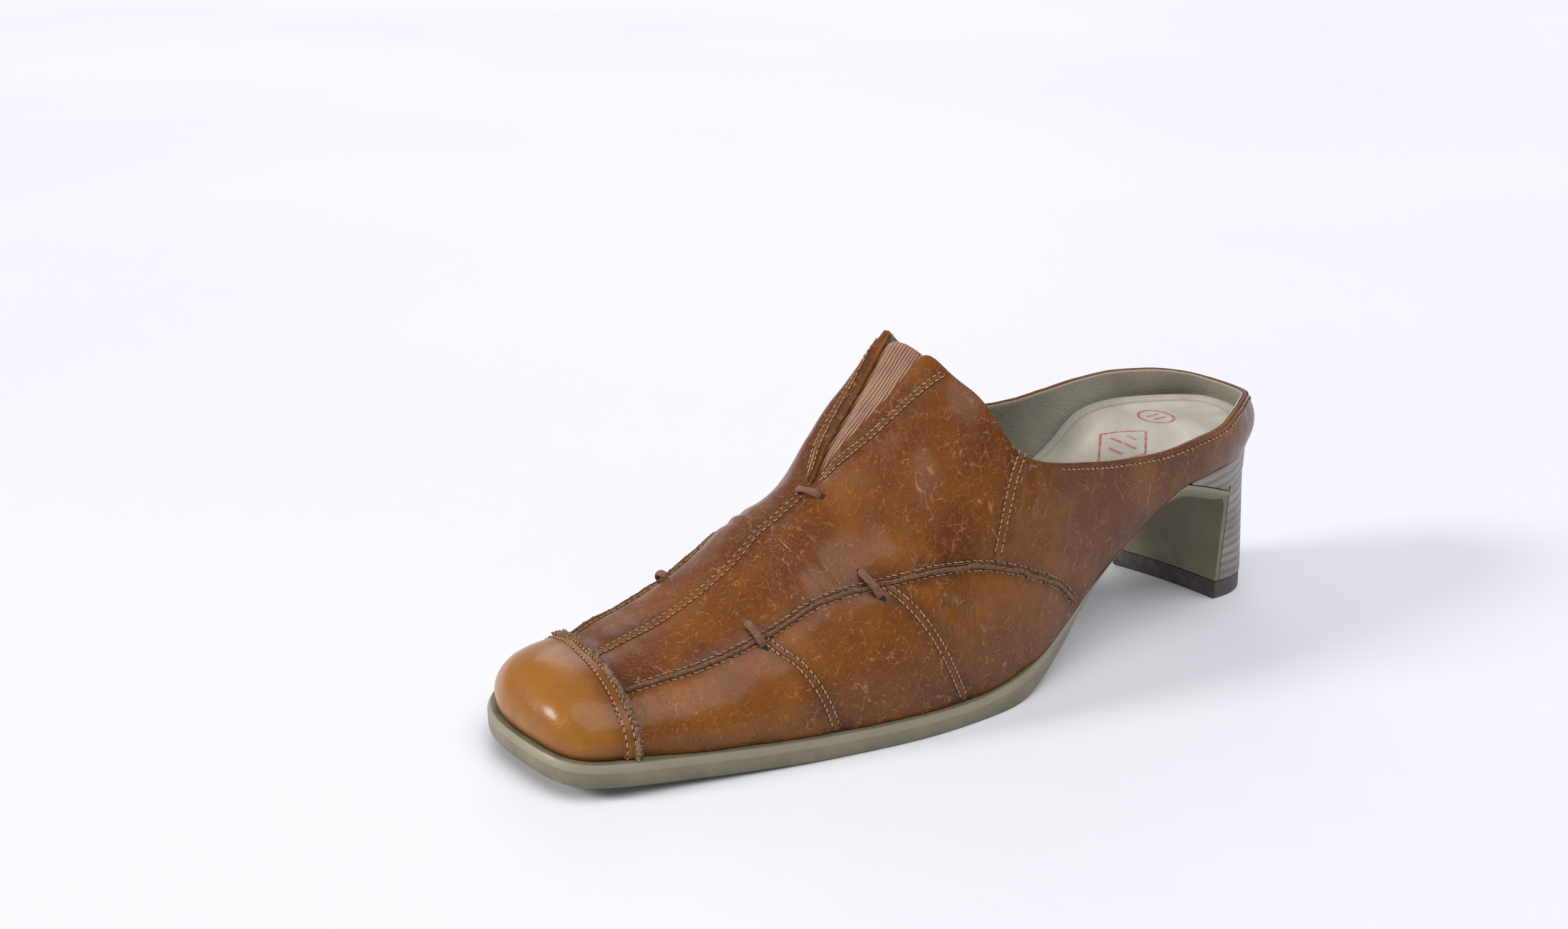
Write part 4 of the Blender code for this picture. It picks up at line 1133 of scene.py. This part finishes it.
def make_cap_strip():
    bm = new_mesh("seam", "low", "crease", "tone")
    marks = picked(CAP_LINE, 0.0005)
    shares = np.linspace(-1, 1, 11)
    columns = []
    for share in shares:
        loop, angle = offset_chain(marks, -share * 0.0019)
        wavy = np.sin(np.arange(len(loop)) * 2.1) * abs(share)
        columns.append(skin(loop, angle, 0.00150 * (1 - 0.10 * share**2) + 0.00012 * wavy)[0])
    top = np.stack(columns, axis=1)
    _, normal = skin(*marks)
    points = np.concatenate([top, top[:, ::-1] - normal[:, None] * 0.0016, top[:, :1]], axis=1)
    grid(bm, points, {"seam": 0.004, "low": 0.5, "crease": 0.3, "tone": 0.35})
    seal(bm)
    add_piece(bm, "cap_strip", CAP_LEATHER, ["cap_seam"], sharp=60)
    bm = new_mesh()
    frayed(bm, CAP_LINE, -0.0021, 0.0013, 0.0024, 31, 0.00035, 0.75)
    frayed(bm, CAP_LINE, -0.0028, 0.0009, 0.0014, 33, 0.00035, 0.95)
    seal(bm)
    add_piece(bm, "cap_frayed_edge", CAP_RAW, sharp=55)


make_cap_strip()


# %% [markdown]
# ## Stitches
# Thick waxed thread, one stitch every millimetre and a half. Each is a small spindle that dips at
# both ends into a needle hole, drawn as a small dark disc of painted shade. All stitches are one
# piece, with few faces each.


# %% Stitches and needle holes
def template(make, **sizes):
    """Points and faces of one small shape."""
    bm = bmesh.new()
    make(bm, **sizes)
    bm.verts.ensure_lookup_table()
    points = np.array([vertex.co[:] for vertex in bm.verts])
    faces = [[vertex.index for vertex in face.verts] for face in bm.faces]
    bm.free()
    return points, faces


SPINDLE = template(bmesh.ops.create_uvsphere, u_segments=6, v_segments=5, radius=1.0)
DOT = template(bmesh.ops.create_circle, cap_ends=True, segments=6, radius=1.0)


class Copies:
    """Many copies of one small shape, joined in one mesh."""

    def __init__(self, shape):
        self.shape, self.points, self.faces = shape, [], []

    def add(self, centre, axes):
        """axes are the shape's own x, y and z, as rows with their lengths, in the last's frame."""
        points, faces = self.shape
        first = len(self.points) * len(points)
        self.points.append(world(centre + points @ np.asarray(axes)))
        self.faces += [[first + index for index in face] for face in faces]

    def mesh(self):
        made = bpy.data.meshes.new("copies")
        made.from_pydata(np.concatenate(self.points).tolist(), [], self.faces)
        bm = bmesh.new()
        bm.from_mesh(made)
        bpy.data.meshes.remove(made)
        return bm


def stitches(threads, holes, line, shift, lift, pitch=0.0016, width=0.00052, start=0.0, stop=1.0):
    places, normals = skin(*beside(line, shift, pitch, start, stop), lift)
    runs = unit(np.gradient(places, axis=0))
    for k in range(len(places) - 1):
        if np.linalg.norm(places[k + 1] - places[k]) > 2.5 * pitch:
            continue
        normal, run = normals[k], runs[k]
        along = unit(run + np.cross(normal, run) * 0.16)
        across = unit(np.cross(normal, along))
        threads.add(places[k], (across * width * 0.5, normal * width * 0.42, along * pitch * 0.46))
        spot = places[k] + run * pitch * 0.5 + normal * 0.00003
        holes.add(spot, (run * 0.00024, across * 0.00024, normal * 0.00024))


def topline_chain():
    turns = np.linspace(float(turn_at(0.395 * LAST_LENGTH)), 0, 420)
    inner = np.linspace(0, float(turn_at(0.36 * LAST_LENGTH)), 420)[1:]
    loops = np.concatenate([turns, 2 - inner])
    angles = np.concatenate([open_edge(turns, 1), open_edge(inner, -1)])
    return loops, angles


TOPLINE_LINE = topline_chain()


def make_stitches():
    bm, holes = Copies(SPINDLE), Copies(DOT)
    for line, reach in SEWN:
        for shift in (-1, 1):
            stitches(bm, holes, line, shift * reach, 0.00022)
    for side in (1, -1):
        for shift, lift in ((0.00165, 0.0001), (-0.00095, 0.0002)):
            stitches(bm, holes, RAISED[side], shift * side, lift, pitch=0.0019, width=0.00040)
    for shift in (-0.0013, 0.0010):
        stitches(bm, holes, CAP_LINE, shift, 0.00160, pitch=0.0017)
    stitches(bm, holes, TOPLINE_LINE, -0.0018, 0.00020, pitch=0.0019, width=0.00056)
    add_piece(bm.mesh(), "stitches", THREAD, weld=0, sharp=80)
    add_piece(holes.mesh(), "needle_holes", HOLE_SHADE, weld=0)


# Painted shade: the inside of each hole is a small dark disc laid on the skin.
HOLE_SHADE = Paint("needle_hole")
HOLE_SHADE = HOLE_SHADE.finish((0.020, 0.009, 0.006), HOLE_SHADE.noise(600.0) * 0.2 + 0.8)
make_stitches()


# %% [markdown]
# ## Thongs
# Short leather bars are pulled through a hole on each side of a raised seam. The upper end is cut to
# a point and the lower end dives into its hole. Each hole is a dark disc of painted shade.


# %% Thongs
def thong(name, start, end, side_start, side_end, arch, node):
    """A rounded bar between two places (along share, rise share), arched in the middle."""
    ends = []
    for (along, rise), side in ((start, side_start), (end, side_end)):
        loop = loop_of(float(turn_at(along * LAST_LENGTH)), side)
        point, normal = skin(np.array([loop]), np.array([rise * QUARTER_TURN]))
        ends.append((point[0], normal[0]))
    (first, first_normal), (last, last_normal) = ends
    bm = new_mesh()
    count = 26
    rows = []
    for k in range(count):
        u = k / (count - 1)
        normal = unit(first_normal * (1 - u) + last_normal * u)
        bow = arch * math.sin(math.pi * u) ** 0.7 - 0.0014 * max(0.0, u - 0.9) / 0.1
        middle = first * (1 - u) + last * u + normal * (bow + 0.0003)
        across = unit(np.cross(last - first, normal))
        wide = 0.00105 * min(1.0, 0.25 + u / 0.18) * (1 - 0.25 * max(0.0, u - 0.85) / 0.15)
        tall = 0.00062 * min(1.0, 0.35 + u / 0.15)
        ring = []
        for a in np.linspace(0, 2 * math.pi, 13):
            uneven = wide * (1 + 0.08 * math.sin(9 * u + 2 * a))
            ring.append(middle + across * uneven * math.cos(a) + normal * tall * math.sin(a))
        rows.append(ring)
    grid(bm, np.array(rows))
    seal(bm)
    add_piece(bm, name, TIE_LEATHER, [node], sharp=60)
    # Painted shade: a dark disc stands for the hole at each end.
    spot = new_mesh()
    way = unit(last - first)
    spots = ((last + way * 0.0004, last_normal, 0.0010), (first, first_normal, 0.0005))
    for place, normal, size in spots:
        across = unit(np.cross(way, normal))
        axes = np.stack([across, np.cross(normal, across), normal], axis=1)
        axes[1] *= -1
        matrix = Matrix(axes.tolist()).to_4x4()
        matrix.translation = Vector(world(place + normal * 0.00005))
        bmesh.ops.create_circle(spot, cap_ends=True, segments=14, radius=size, matrix=matrix)
    add_piece(spot, name + "_holes", HOLE_SHADE, weld=0)


TIE_LEATHER = raw_edge("thong_leather", (0.260, 0.120, 0.055), (0.125, 0.050, 0.021))
thong("thong_outer_front", (0.7635, 0.680), (0.7600, 0.512), 1, 1, 0.0021, "tie_outer_2")
thong("thong_outer_rear", (0.6470, 0.545), (0.6340, 0.415), 1, 1, 0.0021, "tie_outer_1")
thong("thong_inner_front", (0.7780, 0.690), (0.7740, 0.520), -1, -1, 0.0021, "tie_inner_2")
thong("thong_inner_rear", (0.6600, 0.520), (0.6500, 0.385), -1, -1, 0.0021, "tie_inner_1")
thong("thong_throat", (0.6480, 0.955), (0.6390, 0.905), -1, 1, 0.0010, "tie_throat")


# %% [markdown]
# ## The elastic gore
# A ribbed elastic closes the V from behind. Its ribs run the length of the V, with painted shade in
# the grooves between them.


# %% Gore
RIB_PITCH = 0.00110


def make_gore():
    count, across = 50, 161
    stations = np.linspace(THROAT_TOP_ALONG + 0.0012, THROAT_FOOT_ALONG + GORE_LAP, count)
    shares = np.linspace(-1, 1, across)
    bm = new_mesh("rib")
    points = np.empty((count, across, 3))
    ribs = np.empty((count, across))
    for j, share in enumerate(shares):
        side = 1 if share >= 0 else -1
        loop = loop_of(turn_at(stations), side)
        out = (throat_half(stations) + GORE_LAP) * abs(share)
        angle = halve(
            np.full(count, 0.05),
            QUARTER_TURN,
            lambda a: np.abs(upper_point(loop, a)[..., 0] - SPINE_SHIFT) <= out,
        )
        rib = np.abs(np.sin(math.pi * np.copysign(out, share) / RIB_PITCH)) ** 0.7
        ribs[:, j] = rib
        point = upper_point(loop, angle)
        normal = normal_of(upper_point, loop, angle)
        sunk = relief(point)[0] - UPPER_WALL - GAP
        points[:, j] = point + normal * (sunk[:, None] + 0.00045 * rib[:, None])
    grid(bm, points, {"rib": ribs})
    bmesh.ops.recalc_face_normals(bm, faces=bm.faces)
    if sum(face.normal.z for face in bm.faces) < 0:
        bmesh.ops.reverse_faces(bm, faces=bm.faces)
    add_piece(bm, "elastic_gore", ELASTIC, ["throat_gore"], wall=0.0010, sharp=80)


make_gore()


# %% [markdown]
# ## The insole
# A grey-beige sock over a board, pressed with the outline of a foot bed. The maker's prints are
# replaced by a plain oval ring and a plain outlined lozenge with bars, in the same red.


# %% Insole
def insole_leather():
    p = Paint("insole_sock")
    x, y, _ = p.axes()
    worn = p.noise(38.0, 4.0, 0.6, warp=0.7)
    nap = p.noise(1500.0, 3.0, 0.6)
    colour = p.blend(worn.step(0.3, 0.7), (0.530, 0.490, 0.410), (0.360, 0.330, 0.270))
    groove = p.attribute("groove")
    colour = p.blend(groove * 0.55, colour, (0.215, 0.190, 0.140))
    rim = p.attribute("rim")
    colour = p.blend(rim.step(0.80, 1.0) * 0.5, colour, (0.290, 0.262, 0.200))
    colour = p.blend(nap.step(0.45, 0.75) * 0.25, colour, (0.600, 0.560, 0.470))

    def from_place(place):
        centre = world([*place, 0.0])
        return x - float(centre[0]), y - float(centre[1])

    a, b = from_place(OVAL_PLACE)
    far = ((a / 0.0062) ** 2 + (b / 0.0052) ** 2).math("SQRT")
    ring = far.step(1.10, 1.02) * far.step(0.86, 0.94)
    bars = (a.math("ABSOLUTE") - 0.0016).math("ABSOLUTE").step(0.0006, 0.0003)
    bars = bars * b.math("ABSOLUTE").step(0.0026, 0.0022)
    a, b = from_place(LOZENGE_PLACE)
    corner = a.math("ABSOLUTE") / 0.0105 + b.math("ABSOLUTE") / 0.0095
    outline = corner.step(1.06, 1.01) * corner.step(0.90, 0.95)
    rows = (b * (1 / 0.0032)).math("FRACT").step(0.30, 0.22) * corner.step(0.62, 0.56)
    ink = ring.math("MAXIMUM", bars).math("MAXIMUM", outline).math("MAXIMUM", rows * 0.8)
    ink = ink * p.noise(700.0, 3.0, 0.7).step(0.28, 0.5)
    colour = p.blend(ink * 0.85, colour, (0.360, 0.035, 0.050))
    return p.finish(colour, 0.85, nap * 0.5 + worn, 0.0002, Sheen_Weight=0.12)


OVAL_PLACE = (-0.0062, 0.0285)
LOZENGE_PLACE = (0.001, 0.0485)


def spine_points(along):
    """Points in plan on the spine of the shoe."""
    return np.stack([np.full(len(along), SPINE_SHIFT), along], axis=1)


def make_insole():
    turns = spread([0.0, 0.10, 0.84, 1.0], [16, 110, 34])
    inner, rim = np.linspace(0, 0.78, 12), [0.95, 0.975, 0.992, 1.0]
    reaches = np.concatenate([inner, np.linspace(0.80, 0.92, 9), rim])
    bm = new_mesh("groove", "rim")
    for side in (1, -1):
        loop = loop_of(turns, side)
        edge = feather(loop)
        inset = UPPER_WALL + 3 * GAP + cap_recess(edge[:, 1])
        edge = edge - outward(loop) * inset[:, None]
        spine = spine_points(SPINE_ALONG(turns))
        rows, grooves, rims = [], [], []
        for kind, reach in [("low", 0.0), ("low", 1.0)] + [("top", r) for r in reaches[::-1]]:
            plan = spine + (edge - spine) * reach
            up = seat_height(plan[:, 1]) + 2 * GAP
            groove = hump(reach - 0.86, 0.016)
            if kind == "top":
                up = up + 0.0021 * (1 - np.tanh((plan[:, 1] - 0.050) / 0.010)) * (1 + 0.6 * reach**6)
                rounded = 0.0007 * max(0.0, (reach - 0.95) / 0.05) ** 2
                up = up + INSOLE_THICKNESS - 0.00045 * groove - rounded + 0.0006 * reach**4 - 0.0004
            rows.append(np.stack([*plan.T, up], axis=1))
            grooves.append(groove)
            rims.append(reach)
        grid(bm, np.stack(rows, axis=1), {"groove": grooves, "rim": rims})
    add_piece(bm, "insole_sock", insole_leather(), ["insole"], sharp=55)


make_insole()

# %% [markdown]
# ## The sole
# A moulded rubber unit: a shelf round the forepart with a light bevel, a tucked waist, and a thin
# flap that runs down the breast of the heel.


# %% Outsole
def sole_spine(turns):
    along = SPINE_ALONG(turns)
    return spine_points(np.where(along < WEDGE_LENGTH, feather(turns)[:, 1], along))


def breast_shift(out, along):
    fade = np.clip((WEDGE_LENGTH - along) / (WEDGE_LENGTH - HEEL_BREAST_ALONG), 0, 1)
    return -BREAST_SLANT * fade * out / HEEL_WIDTH


def wedge_depth(along):
    share = (WEDGE_LENGTH - along) / (WEDGE_LENGTH - HEEL_BREAST_ALONG)
    return WEDGE_TIP + (WEDGE_DEPTH - WEDGE_TIP) * np.maximum(0.0, share)


def sole_top(along):
    fade = np.clip((WEDGE_LENGTH + WEDGE_LIP - along) / WEDGE_LIP, 0, 1)
    return seat_height(along) - (wedge_depth(along) + GAP) * fade


def make_sole():
    start = float(turn_at(HEEL_BREAST_ALONG + BREAST_LEAN - 0.5 * BREAST_SKIN))
    lip = float(turn_at(WEDGE_LENGTH))
    turns = spread([start, lip, float(turn_at(WEDGE_LENGTH + WEDGE_LIP)), 0.84, 1.0], [16, 2, 130, 60])
    # kind, reach or height share, shelf, tuck, bevel, darkening
    levels = (
        ("tread", 0.0, 0.0, 0.0, 0.0, 1.0),
        ("tread", 0.6, 0.0, 0.0, 0.0, 1.0),
        ("tread", 0.97, 0.72, 1.0, 0.0, 1.0),
        ("tread", 1.0, 0.80, 0.97, 0.0, 1.0),
        ("side", 0.06, 0.93, 0.90, 0.0, 0.9),
        ("side", 0.14, 1.0, 0.80, 0.0, 0.6),
        ("side", 0.40, 1.0, 0.55, 0.0, 0.2),
        ("side", 0.66, 1.0, 0.30, 0.2, 0.0),
        ("side", 0.72, 0.97, 0.25, 1.0, 0.0),
        ("side", 0.95, 0.70, 0.08, 1.0, 0.0),
        ("top", 1.0, 0.60, 0.05, 0.3, 0.3),
        ("top", 1.0, 0.20, 0.0, 0.0, 0.8),
        ("top", 0.6, 0.0, 0.0, 0.0, 0.8),
        ("top", 0.0, 0.0, 0.0, 0.0, 0.8),
    )
    bm = new_mesh("bevel", "darkening")
    for side in (1, -1):
        loop = loop_of(turns, side)
        edge, spine, away = feather(loop), sole_spine(turns), outward(loop)
        shelf_share, tuck_share = SHELF_SHARE(edge[:, 1]), TUCK_SHARE(edge[:, 1])
        rows = []
        for kind, reach, shelf, tuck, *_ in levels:
            ledge = SOLE_SHELF * shelf_share * shelf - WAIST_TUCK * tuck_share * tuck
            share = 1.0 if kind == "side" else reach
            plan = spine + (edge + away * ledge[:, None] - spine) * share
            along = plan[:, 1] + breast_shift(plan[:, 0], plan[:, 1])
            low, high = tread_height(along), sole_top(along)
            up = low + (high - low) * reach if kind == "side" else (low if kind == "tread" else high)
            rows.append(np.stack([plan[:, 0], along, up], axis=1))
        layers = {"bevel": [level[4] for level in levels], "darkening": [level[5] for level in levels]}
        grid(bm, np.stack(rows, axis=1), layers)
    seal(bm)
    flap_rings(bm)
    add_piece(bm, "rubber_sole", RUBBER, ["outsole"], sharp=32)


def breast_line(share):
    return HEEL_BREAST_ALONG + BREAST_SLANT * (share - 0.5) - BREAST_HOLLOW * np.sin(np.pi * share)


def flare(height):
    return np.minimum(1.0, height / (HEEL_HEIGHT - WEDGE_DEPTH)) ** 1.3


def heel_sides(height):
    low = 0.5 * HEEL_TREAD_WIDTH
    outer = float(feather(turn_at(breast_line(0)))[0]) - GAP
    inner = float(feather(2 - turn_at(breast_line(1)))[0]) + GAP
    return low + (outer - low) * flare(height), -low + (inner + low) * flare(height)


def breast_rake(height):
    return BREAST_LEAN * height / HEEL_HEIGHT


def flap_rings(bm):
    """The thin flap of the sole on the breast of the heel."""
    low = TOP_PIECE_HEIGHT + GAP
    high = HEEL_HEIGHT - WEDGE_DEPTH - 0.00005
    shares = np.linspace(0, 1, 19)
    rings = []
    trim = 0.0002
    for height in low + (high - low) * np.linspace(0, 1, 40) ** 0.7:
        outer, inner = heel_sides(height)
        outer, inner = outer - trim, inner + trim
        swept = max(0.0, height - (HEEL_HEIGHT - WEDGE_DEPTH - BREAST_FILLET)) / BREAST_FILLET
        fillet = BREAST_FILLET * (1 - math.sqrt(max(0.0, 1 - min(swept, 0.98) ** 2)))
        face = breast_line(shares) + breast_rake(height)
        outs = outer + (inner - outer) * shares
        level = np.full(len(shares), height)
        front = np.stack([outs, face + fillet, level], axis=1)
        back = np.stack([outs, face - BREAST_SKIN, level], axis=1)
        rings.append(np.concatenate([front, back[::-1], front[:1]]))
    grid(bm, np.array(rings), {"bevel": 0.0, "darkening": 0.12})
    seal(bm)


make_sole()


# %% [markdown]
# ## The heel
# A block covered with stacked leather that narrows downwards to a squarish tread, under a wedge
# that fills the seat. The dark top piece is nailed below and takes the wear.


# %% Heel and top piece
def heel_ring(height, front_inset, around=44):
    """One level of the block: the hollow breast, then round the back."""
    outer, inner = heel_sides(height)
    low = 0.5 * HEEL_TREAD_WIDTH
    shares = np.linspace(0, 1, 15)
    lean = breast_rake(height) - front_inset
    front = [outer + (inner - outer) * shares, breast_line(shares) + lean]
    front = np.stack([*front, np.full(len(shares), height)], axis=1)
    k = np.arange(1, around) / around
    reach = np.cos(math.pi * k)
    out = np.sign(reach) * np.abs(reach) ** BACK_POWER * low
    front_along = HEEL_BREAST_ALONG - 0.5 * BREAST_SLANT * out / low + lean
    along = front_along - (front_along - HEEL_TREAD_BACK) * np.sin(math.pi * k) ** BACK_POWER
    outside = k <= 0.5
    corner = np.where(outside, turn_at(breast_line(0) + lean), turn_at(breast_line(1) + lean))
    turn = corner * np.abs(1 - 2 * k)
    away = outward(np.where(outside, 0.01 + turn, 1.99 - turn))
    seat = feather(np.where(outside, turn, 2 - turn)) - away * GAP
    plan = np.stack([out, along], axis=1) * (1 - flare(height)) + seat * flare(height)
    back = np.concatenate([plan, np.full((len(k), 1), height)], axis=1)
    return np.concatenate([front[::-1], back, front[-1:]])


def make_heel():
    bm = new_mesh()
    turns = spread([0.0, float(turn_at(WEDGE_LENGTH))], [70])
    for side in (1, -1):
        loop = loop_of(turns, side)
        edge = feather(loop)
        spine = spine_points(np.minimum(SPINE_ALONG(turns), WEDGE_LENGTH))
        rows = []
        for sunk, reach in ((1, 0), (1, 0.6), (1, 1), (0.5, 1), (0, 1), (0, 0.6), (0, 0)):
            plan = spine + (edge - spine) * reach
            depth = wedge_depth(np.maximum(plan[:, 1], HEEL_BREAST_ALONG))
            rows.append(np.stack([*plan.T, seat_height(plan[:, 1]) - depth * sunk], axis=1))
        grid(bm, np.stack(rows, axis=1))
    seal(bm)
    bottom, top = TOP_PIECE_HEIGHT + GAP, HEEL_HEIGHT - 0.5 * WEDGE_DEPTH
    heights = np.linspace(bottom, top, 26)
    grid(bm, np.array([heel_ring(height, BREAST_SKIN + 0.00005) for height in heights]))
    seal(bm)
    add_piece(bm, "stacked_heel", STACK, ["heel_stack"], sharp=35)
    bm = new_mesh()
    rings = []
    levels = ((0.0, 0.0005), (0.0006, 0), (0.5 * TOP_PIECE_HEIGHT, 0), (TOP_PIECE_HEIGHT, 0))
    for height, inset in levels:
        ring = heel_ring(height, 0.0)
        middle = ring[:-1].mean(axis=0) * (1, 1, 0)
        ring[:, :2] += (middle[:2] - ring[:, :2]) * inset / 0.018
        rings.append(ring)
    grid(bm, np.array(rings))
    seal(bm)
    add_piece(bm, "heel_top_piece", TIP, ["top_piece"], sharp=35)


make_heel()

# %% [markdown]
# ## Floor, light and camera
# A plain pale floor, three suns of different breadth and a bright room. The camera stands where
# the photograph was taken, found by fitting a camera to points of both shoes.


# %% Floor
def make_floor():
    p = Paint("floor_paper")
    cloud = p.noise(1.4, 3.0)
    colour = p.blend(cloud.step(0.3, 0.7), (0.815, 0.820, 0.865), (0.855, 0.858, 0.890))
    p.finish(colour, 0.75, p.noise(40.0, 4.0), 0.0004)
    bm = bmesh.new()
    bmesh.ops.create_grid(bm, x_segments=24, y_segments=24, size=9.0)
    mesh = bpy.data.meshes.new("floor")
    bm.to_mesh(mesh)
    bm.free()
    mesh.materials.append(p.material)
    floor = bpy.data.objects.new("floor", mesh)
    bpy.context.scene.collection.objects.link(floor)


make_floor()


# %% Light
def sun(name, azimuth, elevation, strength, angle, colour):
    """A far, broad light, so that the whole floor is lit alike."""
    light = bpy.data.lights.new(name, "SUN")
    light.energy, light.angle, light.color = strength, math.radians(angle), colour
    obj = bpy.data.objects.new(name, light)
    around, high = math.radians(azimuth), math.radians(elevation)
    flat = math.cos(high)
    way = Vector((math.sin(around) * flat, -math.cos(around) * flat, math.sin(high)))
    obj.rotation_euler = way.to_track_quat("Z", "Y").to_euler()
    bpy.context.scene.collection.objects.link(obj)


sun("window", -20, 28, 1.7, 16, (1.0, 0.985, 0.96))
sun("ceiling", 95, 70, 1.85, 55, (0.98, 0.98, 1.0))
sun("door", -115, 28, 0.35, 30, (1.0, 0.96, 1.0))

room = bpy.data.worlds.new("room")
room.use_nodes = True
glow = room.node_tree.nodes["Background"].inputs
glow["Color"].default_value = (0.90, 0.91, 1.0, 1)
glow["Strength"].default_value = 0.33
bpy.context.scene.world = room
bpy.context.scene.view_settings.view_transform = "Standard"

# %% Camera
AZIMUTH, ELEVATION, ROLL = (math.radians(a) for a in (59.677, 20.307, -0.376))
TARGET = world(np.array([-0.037069, 0.147422, 0.05236]))
DISTANCE = 0.49204
FOCAL_PIXELS, FRAME_PIXELS, SENSOR = 2627.823, 2504, 36.0


def make_camera():
    flat = math.cos(ELEVATION)
    back = Vector((math.sin(AZIMUTH) * flat, -math.cos(AZIMUTH) * flat, math.sin(ELEVATION)))
    right = Vector((math.cos(AZIMUTH), math.sin(AZIMUTH), 0))
    up = back.cross(right)
    rolled = right * math.cos(ROLL) + up * math.sin(ROLL)
    upright = up * math.cos(ROLL) - right * math.sin(ROLL)
    camera = bpy.data.cameras.new("camera")
    camera.sensor_fit, camera.sensor_width = "HORIZONTAL", SENSOR
    camera.lens = FOCAL_PIXELS / FRAME_PIXELS * SENSOR
    camera.clip_start, camera.clip_end = 0.01, 50
    obj = bpy.data.objects.new("camera", camera)
    turned = Matrix((rolled, upright, back)).transposed().to_4x4()
    turned.translation = Vector(TARGET) + back * DISTANCE
    obj.matrix_world = turned
    bpy.context.scene.collection.objects.link(obj)
    bpy.context.scene.camera = obj


make_camera()
